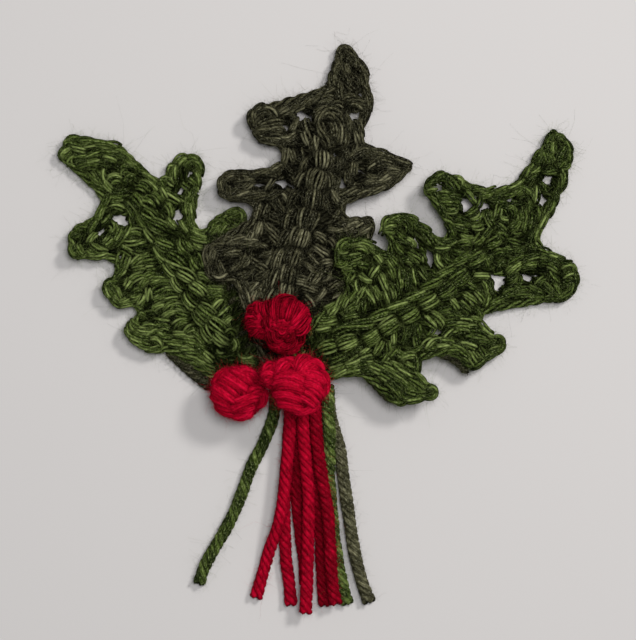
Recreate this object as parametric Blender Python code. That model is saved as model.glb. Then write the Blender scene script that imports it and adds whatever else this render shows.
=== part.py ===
"""A crocheted holly sprig: three lobed leaves, three bobble berries and nine loose yarn tails.

It lies flat. +Z is up, +Y runs from the berries to the middle leaf's tip, and the origin is on the
surface under the middle of the leaves and berries. Sizes are in millimetres until a mesh is made.
"""

import math

import bmesh
import bpy
from mathutils import Vector, geometry, kdtree

MM = 0.001

YARN = 3.0  # worsted yarn, as thick as each tail
LEAF_THICK = 3.0  # one layer of crochet
LAYER_GAP = 0.4  # air between one leaf and the next
RIB_RISE = 0.9  # how far the chain along a leaf's middle stands proud
RIB_HALF = 2.6
EDGE_ROUND = 1.5  # the rounding of a leaf's edge
OUTLINE_STEP = 1.5
FILL_STEP = 2.7
ARC_STEP = math.radians(20)

MIDDLE_LIFT = LEAF_THICK + LAYER_GAP  # the middle leaf's base lies on the left leaf
RIGHT_LIFT = 2 * MIDDLE_LIFT  # and the right leaf's base lies on the middle leaf
BERRY_LIFT = 3 * MIDDLE_LIFT
CURL = 2.4  # how far an outer lobe curls up off the surface

# A leaf's outline is a band round these rounds, anticlockwise: x, y, radius. A lobe's round has a
# positive radius, and a notch between lobes a negative one.
LEFT_ROUNDS = [
    (-14, -33.5, 3), (-12, -17, 3.5), (-16.5, -7.5, 2.5), (-20, -4, -1.5),
    (-20.5, 3, 3), (-25, 2.5, 2), (-29, 2.5, -1.75),
    (-32, 16, 3.5), (-36.5, 15, 2), (-40, 14, -1.25),
    (-52, 19, 3.5), (-61.5, 22, 2.25), (-63, 19, 2.25), (-58.5, 7, -3.5),
    (-60.5, -1.5, 2.5), (-60, -5, 2.5), (-53, -9.5, -2),
    (-52, -14, 2.25), (-49.5, -17, 2.5), (-46.5, -20, -1),
    (-46, -25, 2.5), (-41.5, -28.5, 2.5), (-37.5, -32, -1.25), (-26, -35, 2.5),
]
LEFT_RIB = [(-46.5, 14), (-41.5, 7), (-37.5, 0), (-34.5, -7), (-31.5, -13.5), (-28.5, -20), (-25, -27)]

MIDDLE_ROUNDS = [
    (-5.5, -33.5, 3.5), (6.5, -13, 3), (12, 1, 2.5), (8, 5, -1.5),
    (15, 15, 5.5), (22.5, 16, 1.25), (14, 24, -2.75),
    (10.5, 31.5, 3.25), (9.5, 39, 3.25), (6.5, 45, 2), (-1.5, 40, -4.25),
    (-14.5, 28, 3.5), (-13, 24, 3), (-11.5, 18.5, -2.25),
    (-21.5, 11, 4), (-18.5, 5, -2),
    (-25, -6, 4), (-25, -9, 3.5), (-22, -15.5, -2), (-11.5, -33.5, 3),
]
MIDDLE_RIB = [(4.5, 28), (1.5, 23), (-0.5, 18), (-2, 8), (-4, 0), (-6, -7), (-7.5, -13)]

RIGHT_ROUNDS = [
    (-4, -34.5, 3), (2.5, -34.5, 3), (9, -41, -4.5),
    (20, -41, 3), (28, -40, 2), (27, -34.5, -2.25), (32, -34.5, -3.25),
    (38, -32, 2.75), (45, -28, 2.25), (43, -23, -2.25),
    (59.5, -12, 5.75), (58.5, -2, -2.75),
    (59.5, 12.5, 2.75), (61, 20, 3), (59, 24, 1.75), (43.5, 20.5, -9.5),
    (30.5, 11.5, 3.5), (28.5, 10.5, 3), (30.5, 0, -1.5),
    (21.5, 1, 3.5), (18, 1, 3), (16, -4, -1.25),
    (10, -5, 3.25), (7, -5, 3), (4, -14, -2.5), (-4, -27, 3),
]
RIGHT_RIB = [(46, 5), (43, 0), (37.5, -8), (31, -13.5), (25, -18), (17, -22), (10, -24), (4, -26.5)]

# Each berry is a ball of yarn with soft lumps: x, y, z, half width, half depth, half height.
BERRY_HALF_HEIGHT = 5.2
TOP_BERRY = [
    (-8.1, -22.2, BERRY_LIFT + BERRY_HALF_HEIGHT, 6.9, 6.4, BERRY_HALF_HEIGHT),
    (-13.9, -22.2, BERRY_LIFT + 4.3, 4.2, 4.2, 3.8),
    (-7.6, -27.0, BERRY_LIFT + 3.9, 3.9, 3.0, 3.4),
]
LEFT_BERRY = [
    (-19.9, -40.2, MIDDLE_LIFT + 0.2 + BERRY_HALF_HEIGHT, 7.1, 6.6, BERRY_HALF_HEIGHT),
]
RIGHT_BERRY = [
    (-4.8, -38.0, BERRY_LIFT + BERRY_HALF_HEIGHT, 7.1, 7.2, BERRY_HALF_HEIGHT),
    (-11.2, -35.8, BERRY_LIFT + 4.6, 3.2, 2.9, 2.9),
]
BERRY_SIDES = 28
BERRY_RINGS = 14

# The tails' routes, x, y, z of the yarn's middle, from under the berries to the cut end.
FLOOR = YARN / 2
UPPER = FLOOR + YARN + 0.35  # a yarn that lies on another
TAIL_STEP = 2 * YARN
TAILS = {
    "tail_green_left": [
        (-10.9, -38.7, FLOOR), (-11.2, -45.5, FLOOR), (-13.4, -52, FLOOR), (-17.1, -59.5, FLOOR),
        (-19.4, -66, FLOOR), (-22.2, -72.5, FLOOR), (-25.6, -78.5, FLOOR), (-28.4, -83.5, FLOOR),
        (-29.9, -88, FLOOR),
    ],
    "tail_red_1": [
        (-7.1, -38.4, UPPER), (-7.1, -47, UPPER), (-7.8, -57, UPPER), (-8.8, -66, UPPER),
        (-9.7, -72, 4.7), (-11.2, -76.5, 3.6), (-12.7, -81, 2.0), (-14.1, -86, FLOOR),
        (-15.7, -91.5, FLOOR),
    ],
    "tail_red_2": [
        (-7.3, -38.4, FLOOR), (-7.3, -47, FLOOR), (-7.95, -57, FLOOR), (-8.6, -66, FLOOR),
        (-8.5, -75, FLOOR), (-8.2, -82, FLOOR), (-7.4, -88, FLOOR), (-6.9, -93.3, FLOOR),
    ],
    "tail_red_3": [
        (-4.0, -38.4, UPPER), (-3.95, -47, UPPER), (-3.3, -57, UPPER), (-2.5, -66, UPPER),
        (-2.6, -75, UPPER), (-2.8, -82, UPPER), (-2.9, -87, 4.8), (-3.1, -91, 4.7),
        (-3.3, -95, 4.6),
    ],
    "tail_red_4": [
        (-4.2, -38.4, FLOOR), (-4.25, -47, FLOOR), (-4.9, -57, FLOOR), (-5.5, -66, FLOOR),
        (-4.6, -75, FLOOR), (-3.7, -82, FLOOR), (-3.2, -88, FLOOR),
    ],
    "tail_red_5": [
        (-0.9, -38.4, FLOOR), (-0.9, -47, FLOOR), (-0.9, -57, FLOOR), (-0.3, -66, FLOOR),
        (0.4, -75, FLOOR), (0.7, -82, FLOOR), (1.0, -88, FLOOR), (1.4, -93.5, FLOOR),
    ],
    "tail_red_6": [
        (-0.8, -38.4, UPPER), (-0.75, -47, UPPER), (-0.15, -54.5, UPPER), (0.9, -62, UPPER),
        (2.2, -69.5, UPPER), (2.6, -75, UPPER), (2.9, -80, 4.7), (3.4, -88, 4.4), (4.2, -92.8, 4.1),
    ],
    "tail_green_right": [
        (2.3, -38.7, UPPER), (2.35, -44, UPPER), (2.65, -50, 4.6), (2.7, -54.5, 3.8),
        (2.6, -58, 2.5), (2.6, -62, FLOOR), (3.0, -67, FLOOR), (3.7, -75, FLOOR),
        (4.5, -81, FLOOR), (5.8, -88, FLOOR), (7.2, -93.0, FLOOR),
    ],
    "tail_olive_right": [
        (2.35, -38.7, FLOOR), (2.6, -44, FLOOR), (3.1, -47, FLOOR), (4.0, -50, FLOOR),
        (5.2, -54.5, FLOOR), (6.1, -61, FLOOR), (7.3, -69.5, FLOOR), (8.8, -79.5, FLOOR),
        (10.6, -87, FLOOR), (12.6, -92.6, FLOOR),
    ],
}

GREEN = (0.030, 0.055, 0.012)
OLIVE = (0.052, 0.043, 0.022)
RED = (0.300, 0.006, 0.014)


def clear_scene():
    for old in list(bpy.data.objects):
        bpy.data.objects.remove(old, do_unlink=True)


def yarn_material(name, colour):
    material = bpy.data.materials.new(name)
    material.use_nodes = True
    shader = material.node_tree.nodes["Principled BSDF"]
    shader.inputs["Base Color"].default_value = (*colour, 1)
    shader.inputs["Roughness"].default_value = 0.85
    shader.inputs["Metallic"].default_value = 0
    return material


def add_object(name, data, material):
    piece = bpy.data.objects.new(name, data)
    piece.data.materials.append(material)
    bpy.context.collection.objects.link(piece)
    return piece


def ramp(value, low, high):
    """Rises smoothly from 0 at low to 1 at high."""
    share = min(1.0, max(0.0, (value - low) / (high - low)))
    return share * share * (3 - 2 * share)


def smooth_route(points, step):
    """Points about a step apart on a smooth curve through the given ones."""
    points = [Vector(p) for p in points]
    ends = [2 * points[0] - points[1], *points, 2 * points[-1] - points[-2]]
    route = []
    for a, b, c, d in zip(ends, ends[1:], ends[2:], ends[3:]):
        count = max(1, round((c - b).length / step))
        for i in range(count):
            t = i / count
            route.append(
                0.5 * (2 * b + (c - a) * t + (2 * a - 5 * b + 4 * c - d) * t**2
                       + (3 * b - a - 3 * c + d) * t**3)
            )
    return [*route, points[-1]]


def band(rounds):
    """The outline of a band pulled round the rounds, as arcs joined by straight runs."""
    leaving = []
    for (x1, y1, r1), (x2, y2, r2) in zip(rounds, rounds[1:] + rounds[:1]):
        slant = math.acos((r2 - r1) / math.hypot(x2 - x1, y2 - y1))
        leaving.append(math.atan2(y2 - y1, x2 - x1) + slant)
    outline = []
    for i, (x, y, radius) in enumerate(rounds):
        turn = (leaving[i] - leaving[i - 1]) % (2 * math.pi)
        if radius < 0:
            turn -= 2 * math.pi
        count = max(1, math.ceil(abs(turn) / ARC_STEP))
        for j in range(count + 1):
            angle = leaving[i - 1] + turn * j / count
            outline.append(Vector((x - radius * math.cos(angle), y - radius * math.sin(angle))))
    return even_steps(outline)


def even_steps(outline):
    """The closed outline again, with its points one step apart."""
    runs = [(b - a).length for a, b in zip(outline, outline[1:] + outline[:1])]
    count = round(sum(runs) / OUTLINE_STEP)
    even = []
    i, passed = 0, 0.0
    for k in range(count):
        goal = sum(runs) * k / count
        while passed + runs[i] < goal:
            passed += runs[i]
            i += 1
        even.append(outline[i].lerp(outline[(i + 1) % len(outline)], (goal - passed) / runs[i]))
    return even


def distance_to(points):
    """A function that gives the distance from a place to the nearest of the points."""
    tree = kdtree.KDTree(len(points))
    for i, p in enumerate(points):
        tree.insert((*p.xy, 0), i)
    tree.balance()
    return lambda x, y: tree.find((x, y, 0))[2]


def filled(outline):
    """Triangles that fill the outline: their corners and the corner numbers."""
    xs = [p.x for p in outline]
    ys = [p.y for p in outline]
    to_edge = distance_to(outline)
    inner = []
    row_step = FILL_STEP * math.sqrt(3) / 2
    for row in range(math.ceil((max(ys) - min(ys)) / row_step)):
        for column in range(math.ceil((max(xs) - min(xs)) / FILL_STEP)):
            x = min(xs) + (column + 0.5 * (row % 2)) * FILL_STEP
            y = min(ys) + row * row_step
            if to_edge(x, y) > 0.6 * FILL_STEP:
                inner.append(Vector((x, y)))
    count = len(outline)
    loop = list(range(count))
    corners, _, faces, *_ = geometry.delaunay_2d_cdt(outline + inner, [], [loop], 1, 1e-5)
    return corners, faces


def leaf(name, rounds, rib, base_height, material):
    """A closed plate of crochet with rounded edges and a raised middle chain."""
    outline = band(rounds)
    corners, faces = filled(outline)
    to_edge = distance_to(smooth_route([(*p, 0) for p in [*outline, outline[0]]], 0.5))
    to_rib = distance_to(smooth_route([(*p, 0) for p in rib], 0.5))
    count = len(corners)
    rim = [to_edge(*p) < 0.05 for p in corners]
    shape = bmesh.new()
    layers = []
    for side in (-1, 1):
        layer = []
        for p in corners:
            inset = min(1.0, to_edge(*p) / EDGE_ROUND)
            swell = 0.45 + 0.55 * math.sqrt(1 - (1 - inset) ** 2)
            half = LEAF_THICK / 2
            height = base_height(*p) + half + side * half * swell
            if side > 0:
                height += RIB_RISE * inset * (1 - ramp(to_rib(*p), 0.4, RIB_HALF))
            layer.append(shape.verts.new((p.x * MM, p.y * MM, height * MM)))
        layers.append(layer)
    below, above = layers
    for face in faces:
        shape.faces.new([above[i] for i in face])
        shape.faces.new([below[i] for i in reversed(face)])
    open_edges = [edge for edge in shape.edges if len(edge.link_faces) == 1]
    bmesh.ops.bridge_loops(shape, edges=open_edges)
    bmesh.ops.triangulate(shape, faces=shape.faces)
    bmesh.ops.recalc_face_normals(shape, faces=shape.faces)
    if shape.calc_volume(signed=True) < 0:
        bmesh.ops.reverse_faces(shape, faces=shape.faces)
    mesh = bpy.data.meshes.new(name)
    shape.to_mesh(mesh)
    shape.free()
    mesh.shade_smooth()
    mesh.set_sharp_from_angle(angle=math.radians(50))
    return add_object(name, mesh, material)


def left_height(x, y):
    """The left leaf lies flat, and its outer lobes curl up a little."""
    out = 0.85 * (-36 - x) + 0.53 * (-3 - y)
    return CURL * ramp(out, 6, 26)


def middle_height(x, y):
    """The middle leaf lies on the left one's base and comes down towards its tip."""
    base = 0.2 + (MIDDLE_LIFT - 0.2) * (1 - ramp(y, 10, 44))
    return base + 0.8 * CURL * ramp(abs(x + 1), 8, 26) * ramp(y, 8, 20)


def right_height(x, y):
    """The right leaf lies on the middle one's base and comes down to the surface outwards."""
    base = RIGHT_LIFT * (1 - ramp(x, 15, 52))
    return base + CURL * ramp(-y - 8, 12, 30) * ramp(x, 15, 35)


def reach(lump, start, way):
    """How far a ray from start goes before it leaves the lump, or 0 if it misses."""
    x, y, z, *halves = lump
    a = Vector([w / h for w, h in zip(way, halves)])
    b = Vector([(s - m) / h for s, m, h in zip(start, (x, y, z), halves)])
    inside = a.dot(b) ** 2 - a.dot(a) * (b.dot(b) - 1)
    if inside < 0:
        return 0.0
    return max(0.0, (-a.dot(b) + math.sqrt(inside)) / a.dot(a))


def berry(name, lumps, material):
    """A ball whose surface is pushed out to the furthest of its lumps in each direction."""
    shape = bmesh.new()
    bmesh.ops.create_uvsphere(shape, u_segments=BERRY_SIDES, v_segments=BERRY_RINGS, radius=1)
    middle = Vector(lumps[0][:3])
    for vert in shape.verts:
        way = vert.co.normalized()
        furthest = max(reach(lump, middle, way) for lump in lumps)
        vert.co = (middle + way * furthest) * MM
    bmesh.ops.triangulate(shape, faces=shape.faces)
    mesh = bpy.data.meshes.new(name)
    shape.to_mesh(mesh)
    shape.free()
    mesh.shade_smooth()
    return add_object(name, mesh, material)


def tail(name, route, material):
    """A loose end of yarn, as a plain round tube."""
    curve = bpy.data.curves.new(name, "CURVE")
    curve.dimensions = "3D"
    curve.bevel_depth = YARN / 2 * MM
    curve.bevel_resolution = 2
    curve.use_fill_caps = True
    points = smooth_route(route, TAIL_STEP)
    spline = curve.splines.new("POLY")
    spline.points.add(len(points) - 1)
    for place, p in zip(spline.points, points):
        place.co = (*(p * MM), 1)
    return add_object(name, curve, material)


clear_scene()
green = yarn_material("green_yarn", GREEN)
olive = yarn_material("olive_yarn", OLIVE)
red = yarn_material("red_yarn", RED)

leaf("leaf_left", LEFT_ROUNDS, LEFT_RIB, left_height, green)
leaf("leaf_middle", MIDDLE_ROUNDS, MIDDLE_RIB, middle_height, olive)
leaf("leaf_right", RIGHT_ROUNDS, RIGHT_RIB, right_height, green)
berry("berry_top", TOP_BERRY, red)
berry("berry_left", LEFT_BERRY, red)
berry("berry_right", RIGHT_BERRY, red)
for tail_name, tail_route in TAILS.items():
    yarn_colour = green if "green" in tail_name else olive if "olive" in tail_name else red
    tail(tail_name, tail_route, yarn_colour)
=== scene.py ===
import math

import bmesh
import bpy
import numpy as np
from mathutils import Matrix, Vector


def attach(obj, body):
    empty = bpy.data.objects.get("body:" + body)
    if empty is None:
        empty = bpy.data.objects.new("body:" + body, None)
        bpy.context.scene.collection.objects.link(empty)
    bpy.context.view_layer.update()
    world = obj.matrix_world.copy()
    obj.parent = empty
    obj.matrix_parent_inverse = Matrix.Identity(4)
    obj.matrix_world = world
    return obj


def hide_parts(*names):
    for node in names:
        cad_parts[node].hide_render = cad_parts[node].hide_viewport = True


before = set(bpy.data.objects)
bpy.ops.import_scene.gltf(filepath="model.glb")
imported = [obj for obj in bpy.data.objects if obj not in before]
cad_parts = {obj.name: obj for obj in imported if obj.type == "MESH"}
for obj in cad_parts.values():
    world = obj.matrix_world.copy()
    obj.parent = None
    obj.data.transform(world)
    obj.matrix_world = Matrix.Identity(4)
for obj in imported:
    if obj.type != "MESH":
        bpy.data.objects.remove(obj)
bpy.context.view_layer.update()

# ---------------------------------------------------------------------------------------------
# The table and the view. The sprig lies on a plain pale table under soft light from above and
# from the far right, and it is looked at from straight above.
VIEW_HEIGHT = 0.62
VIEW_WIDTH = 0.1595  # how much the picture shows at the height of the leaves
VIEW_MIDDLE = (-0.0002, -0.0222)
LEAF_HEIGHT = 0.004
SENSOR = 36.0
TABLE_TOP = -0.0001  # a little below the yarn

camera_data = bpy.data.cameras.new("camera")
camera_data.sensor_width = SENSOR
camera_data.lens = SENSOR * (VIEW_HEIGHT - LEAF_HEIGHT) / VIEW_WIDTH
camera = bpy.data.objects.new("camera", camera_data)
camera.location = (*VIEW_MIDDLE, VIEW_HEIGHT)
bpy.context.scene.collection.objects.link(camera)
bpy.context.scene.camera = camera
bpy.context.scene.view_settings.view_transform = "Standard"


def area_light(name, place, size, power, colour=(1, 1, 1)):
    """A round soft light that faces the middle of the table."""
    data = bpy.data.lights.new(name, "AREA")
    data.shape = "DISK"
    data.size = size
    data.energy = power
    data.color = colour
    lamp = bpy.data.objects.new(name, data)
    lamp.location = place
    lamp.rotation_euler = (-Vector(place)).to_track_quat("-Z", "Y").to_euler()
    bpy.context.scene.collection.objects.link(lamp)


area_light("overhead", (0.12, 0.10, 1.1), 0.40, 9.0)
area_light("window", (0.50, 0.42, 0.80), 0.20, 6.4, (1.0, 0.985, 0.96))
world = bpy.data.worlds.new("room")
world.use_nodes = True
sky = world.node_tree.nodes["Background"]
sky.inputs["Color"].default_value = (0.95, 0.97, 1.0, 1)
sky.inputs["Strength"].default_value = 0.22
bpy.context.scene.world = world

bpy.ops.object.select_all(action="DESELECT")
bpy.ops.mesh.primitive_plane_add(size=3, location=(0, 0, TABLE_TOP))
table = bpy.context.active_object
table.name = "table"
table_paint = bpy.data.materials.new("table_paint")
table_paint.use_nodes = True
paint = table_paint.node_tree.nodes["Principled BSDF"]
paint.inputs["Base Color"].default_value = (0.462, 0.445, 0.438, 1)
paint.inputs["Roughness"].default_value = 0.8
table.data.materials.append(table_paint)

# ---------------------------------------------------------------------------------------------
# The yarn tails. Each is a loose end of worsted yarn, four plies twisted together, cut off with
# scissors. They come out from under the berries and lie along the table, some on each other.
MM = 0.001  # sizes from here on are in millimetres, and are turned to metres as a mesh is made
YARN = 3.0
PLIES = 4
TAIL_THICK = 3.1  # with its loose surface
TAIL_LEAD = 7.8  # the length in which the plies make one full turn
FLOOR = YARN / 2  # the middle of a yarn that lies on the table
UPPER = FLOOR + YARN + 0.35  # a yarn that lies on another
TAILS = {
    "tail_green_left": [
        (-10.9, -38.7, FLOOR), (-11.2, -45.5, FLOOR), (-13.4, -52, FLOOR), (-17.1, -59.5, FLOOR),
        (-19.4, -66, FLOOR), (-22.2, -72.5, FLOOR), (-25.6, -78.5, FLOOR), (-28.4, -83.5, FLOOR),
        (-29.9, -88, FLOOR),
    ],
    "tail_red_1": [
        (-7.1, -38.4, UPPER), (-7.1, -47, UPPER), (-7.8, -57, UPPER), (-8.8, -66, UPPER),
        (-9.7, -72, 4.7), (-11.2, -76.5, 3.6), (-12.7, -81, 2.0), (-14.1, -86, FLOOR),
        (-15.7, -91.5, FLOOR),
    ],
    "tail_red_2": [
        (-7.3, -38.4, FLOOR), (-7.3, -47, FLOOR), (-7.95, -57, FLOOR), (-8.6, -66, FLOOR),
        (-8.5, -75, FLOOR), (-8.2, -82, FLOOR), (-7.4, -88, FLOOR), (-6.9, -93.3, FLOOR),
    ],
    "tail_red_3": [
        (-4.0, -38.4, UPPER), (-3.95, -47, UPPER), (-3.3, -57, UPPER), (-2.5, -66, UPPER),
        (-2.6, -75, UPPER), (-2.8, -82, UPPER), (-2.9, -87, 4.8), (-3.1, -91, 4.7),
        (-3.3, -95, 4.6),
    ],
    "tail_red_4": [
        (-4.2, -38.4, FLOOR), (-4.25, -47, FLOOR), (-4.9, -57, FLOOR), (-5.5, -66, FLOOR),
        (-4.6, -75, FLOOR), (-3.7, -82, FLOOR), (-3.2, -88, FLOOR),
    ],
    "tail_red_5": [
        (-0.9, -38.4, FLOOR), (-0.9, -47, FLOOR), (-0.9, -57, FLOOR), (-0.3, -66, FLOOR),
        (0.4, -75, FLOOR), (0.7, -82, FLOOR), (1.0, -88, FLOOR), (1.4, -93.5, FLOOR),
    ],
    "tail_red_6": [
        (-0.8, -38.4, UPPER), (-0.75, -47, UPPER), (-0.15, -54.5, UPPER), (0.9, -62, UPPER),
        (2.2, -69.5, UPPER), (2.6, -75, UPPER), (2.9, -80, 4.7), (3.4, -88, 4.4), (4.2, -92.8, 4.1),
    ],
    "tail_green_right": [
        (2.3, -38.7, UPPER), (2.35, -44, UPPER), (2.65, -50, 4.6), (2.7, -54.5, 3.8),
        (2.6, -58, 2.5), (2.6, -62, FLOOR), (3.0, -67, FLOOR), (3.7, -75, FLOOR),
        (4.5, -81, FLOOR), (5.8, -88, FLOOR), (7.2, -93.0, FLOOR),
    ],
    "tail_olive_right": [
        (2.35, -38.7, FLOOR), (2.6, -44, FLOOR), (3.1, -47, FLOOR), (4.0, -50, FLOOR),
        (5.2, -54.5, FLOOR), (6.1, -61, FLOOR), (7.3, -69.5, FLOOR), (8.8, -79.5, FLOOR),
        (10.6, -87, FLOOR), (12.6, -92.6, FLOOR),
    ],
}
chance = np.random.default_rng(20)


def unit(vectors):
    """The same directions, each of length one."""
    return vectors / np.maximum(np.linalg.norm(vectors, axis=-1, keepdims=True), 1e-9)


def way_along(path):
    """How far along a path each of its points lies."""
    return np.concatenate([[0], np.cumsum(np.linalg.norm(np.diff(path, axis=0), axis=1))])


def evenly(points, step):
    """Evenly spaced points on a smooth curve through the given ones."""
    p = np.asarray(points, float)
    p = np.vstack([2 * p[0] - p[1], p, 2 * p[-1] - p[-2]])
    t = np.linspace(0, 1, 12, endpoint=False)[:, None]
    dense = [
        0.5 * (2 * b + (c - a) * t + (2 * a - 5 * b + 4 * c - d) * t**2
               + (3 * b - a - 3 * c + d) * t**3)
        for a, b, c, d in zip(p, p[1:], p[2:], p[3:])
    ]
    dense = np.vstack([*dense, p[-2][None]])
    run = way_along(dense)
    at = np.linspace(0, run[-1], max(4, round(run[-1] / step) + 1))
    return np.stack([np.interp(at, run, dense[:, k]) for k in range(dense.shape[1])], 1)


def square_to(vectors, along):
    """The part of each vector that stands square to the run, as a direction."""
    return unit(vectors - (vectors * along).sum(-1, keepdims=True) * along)


class YarnWork:
    """Yarn laid run by run, then made into one piece. Every ply is a closed round tube."""

    LOWEST = 0.03  # no yarn goes lower than this over the table
    HAIR_LOWEST = 0.08
    HAIR_HIGHEST = 23.0
    LONG_HAIR = 1.4  # a hair longer than this is bent in more places
    STREAKED = 0.35  # a ply of this radius takes the fibre streaks once round

    def __init__(self):
        self.blocks = []  # rings of points, the way along them, their tint and light, and turns
        self.skin = []  # points and outward directions for the fuzz

    def tubes(self, paths, ups, radii, sides, tints, flat=1.0, shade=1.0, groove_shade=0.62):
        """Tubes along paths, an array of tubes by points by 3.

        shade says how much light is painted on a place along the run, and the groove setting how far the
        sides and underside of a tube are darkened with painted shade."""
        along = unit(np.gradient(paths, axis=1))
        up = square_to(ups, along)
        across = np.cross(along, up)
        angle = (np.arange(sides) + 0.5) * 2 * math.pi / sides
        ring = (across[..., None, :] * np.cos(angle)[:, None]
                + up[..., None, :] * np.sin(angle)[:, None] * flat)
        points = paths[..., None, :] + ring * radii[..., None, None]
        points[..., 2] = np.maximum(points[..., 2], self.LOWEST)
        length = np.linalg.norm(np.diff(paths, axis=1), axis=-1)
        length = np.concatenate([np.zeros((len(paths), 1)), length.cumsum(1)], 1)
        length += chance.uniform(0, 50, (len(paths), 1))
        # painted shade: the sides and underside of each ply are darkened, as if shade fell in the grooves
        # between plies
        facing = np.clip(1 - groove_shade + groove_shade * np.sin(angle), 0, 1) if sides > 3 else np.ones(3)
        light = np.broadcast_to(shade, paths.shape[:2])[..., None] * facing
        turns = max(1, round(radii.mean() / self.STREAKED))
        self.blocks.append((points, length, tints, light, turns))
        bright = light.reshape(-1) > 0.5
        self.skin.append((points.reshape(-1, 3)[bright], ring.reshape(-1, 3)[bright]))

    def fuzz(self, source, count, length, thick, lift, felted=0.0):
        """Loose fibres that stand off another work's yarn, each a thin bent hair.

        lift says how far they stand up, and felted how closely they follow the surface."""
        spots = np.vstack([spot for spot, _ in source.skin])
        outs = np.vstack([out for _, out in source.skin])
        pick = chance.integers(0, len(spots), count)
        way = chance.normal(0, 0.6, (count, 3))
        way -= outs[pick] * (way * outs[pick]).sum(1, keepdims=True) * felted
        way = unit(way + outs[pick] * lift)
        bend = chance.normal(0, 0.7, (count, 3))
        bend -= outs[pick] * (bend * outs[pick]).sum(1, keepdims=True) * felted
        curl = chance.normal(0, 0.3, (count, 3))
        reach = length * np.minimum(chance.lognormal(0, 0.45, (count, 1)), 2.0)
        paths = []
        rings = 5 if length > self.LONG_HAIR else 3
        for s in np.linspace(0, 1, rings):
            step = way * s + bend * s**2 + curl * math.sin(5 * s)
            paths.append(spots[pick] + step * reach)
        paths = np.stack(paths, 1)
        paths[..., 2] = np.clip(paths[..., 2], self.HAIR_LOWEST, self.HAIR_HIGHEST)
        size = thick * np.linspace(1.1, 0.5, rings) * np.ones((count, 1))
        ups = np.broadcast_to(unit(chance.normal(0, 1, (count, 1, 3))), paths.shape)
        self.tubes(paths, ups, size, 3, chance.uniform(0.25, 0.95, count))

    def lay(self, path, up, thick=YARN, flat=1.0, lead=TAIL_LEAD, sides=6, taper=2, tint=0.5,
            shade=1.0, groove_shade=0.5, full=1.08, mixed=0.12):
        """One run of plied yarn along a path, flattened against the surface below it.

        taper is the number of points in which an end thins out; with none it is a cut end that
        flares. full is how thick the plies are for their room, and mixed how far their tints
        differ."""
        path = np.asarray(path, float)
        along = unit(np.gradient(path, axis=0))
        up = square_to(up, along)
        across = np.cross(along, up)
        run = way_along(path)
        turn = run * 2 * math.pi / lead + chance.uniform(0, 2 * math.pi)
        angle = turn + np.arange(PLIES)[:, None] * 2 * math.pi / PLIES
        ply = thick / 2 / (1 + math.sqrt(2))
        fade = np.ones(len(path))
        if taper:
            end = np.minimum(np.arange(len(path)), np.arange(len(path))[::-1]) / taper
            fade = np.clip(0.35 + 0.65 * end, 0, 1)
        wobble = 1 + 0.05 * np.sin(run * chance.uniform(0.5, 0.9) + chance.uniform(0, 6))
        out = ply * math.sqrt(2) * fade * wobble
        if not taper:
            out = out * (1 + 0.18 * np.clip((run - run[-1]) / 3.0 + 1, 0, 1) ** 2)
        plies = (path + across * (np.cos(angle) * out)[..., None]
                 + up * (np.sin(angle) * out * flat)[..., None])
        size = ply * full * fade * chance.uniform(0.95, 1.08, (PLIES, 1))
        tints = np.clip(tint + chance.normal(0, mixed, PLIES), 0, 1)
        outward = unit(plies - path)
        self.tubes(plies, outward, size, sides, tints, flat=0.5 + 0.5 * flat, shade=shade,
                   groove_shade=groove_shade)

    def make(self, name, material):
        """The piece, as one mesh in metres with its map round and along each ply."""
        corners, caps, places, maps, cap_maps, tints, shades = [], [], [], [], [], [], []
        first = 0
        for points, length, tint, light, turns in self.blocks:
            count, rings, sides, _ = points.shape
            index = first + np.arange(count * rings * sides).reshape(count, rings, sides)
            beside = np.roll(index, -1, axis=2)
            corners.append(np.stack(
                [index[:, :-1], beside[:, :-1], beside[:, 1:], index[:, 1:]], -1).reshape(-1, 4))
            step = turns / sides
            round_ply = np.broadcast_to(np.arange(sides) * step, (count, rings - 1, sides))
            here = np.broadcast_to(length[:, :-1, None], round_ply.shape)
            there = np.broadcast_to(length[:, 1:, None], round_ply.shape)
            beyond = round_ply + step
            maps.append(np.stack([np.stack([round_ply, here], -1), np.stack([beyond, here], -1),
                                  np.stack([beyond, there], -1), np.stack([round_ply, there], -1)],
                                 -2).reshape(-1, 2))
            for ring, reach in ((index[:, 0, ::-1], length[:, 0]), (index[:, -1], length[:, -1])):
                caps.append(ring)
                spot = np.stack([np.broadcast_to(np.arange(sides) * step, ring.shape),
                                 np.broadcast_to(reach[:, None], ring.shape)], -1)
                cap_maps.append(spot.reshape(-1, 2))
            places.append(points.reshape(-1, 3))
            tints.append(np.repeat(tint, rings * sides))
            shades.append(light.reshape(-1))
            first += count * rings * sides
        quads = np.vstack(corners)
        ends = [cap for rows in caps for cap in rows]
        flat_ends = np.concatenate(ends)
        mesh = bpy.data.meshes.new(name)
        mesh.vertices.add(first)
        mesh.vertices.foreach_set("co", (np.vstack(places) * MM).astype(np.float32).ravel())
        mesh.loops.add(quads.size + flat_ends.size)
        mesh.loops.foreach_set("vertex_index", np.concatenate([quads.ravel(), flat_ends]))
        sizes = np.array([4] * len(quads) + [len(end) for end in ends])
        mesh.polygons.add(len(sizes))
        mesh.polygons.foreach_set("loop_start", np.concatenate([[0], sizes.cumsum()[:-1]]))
        ply_map = mesh.uv_layers.new(name="ply")
        ply_map.uv.foreach_set("vector", np.vstack(maps + cap_maps).astype(np.float32).ravel())
        for layer, values in (("tint", tints), ("shade", shades)):
            points = mesh.attributes.new(layer, "FLOAT", "POINT")
            points.data.foreach_set("value", np.concatenate(values).astype(np.float32))
        mesh.update(calc_edges=True)
        mesh.validate()
        mesh.shade_smooth()
        piece = bpy.data.objects.new(name, mesh)
        piece.data.materials.append(material)
        bpy.context.scene.collection.objects.link(piece)
        return piece


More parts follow.
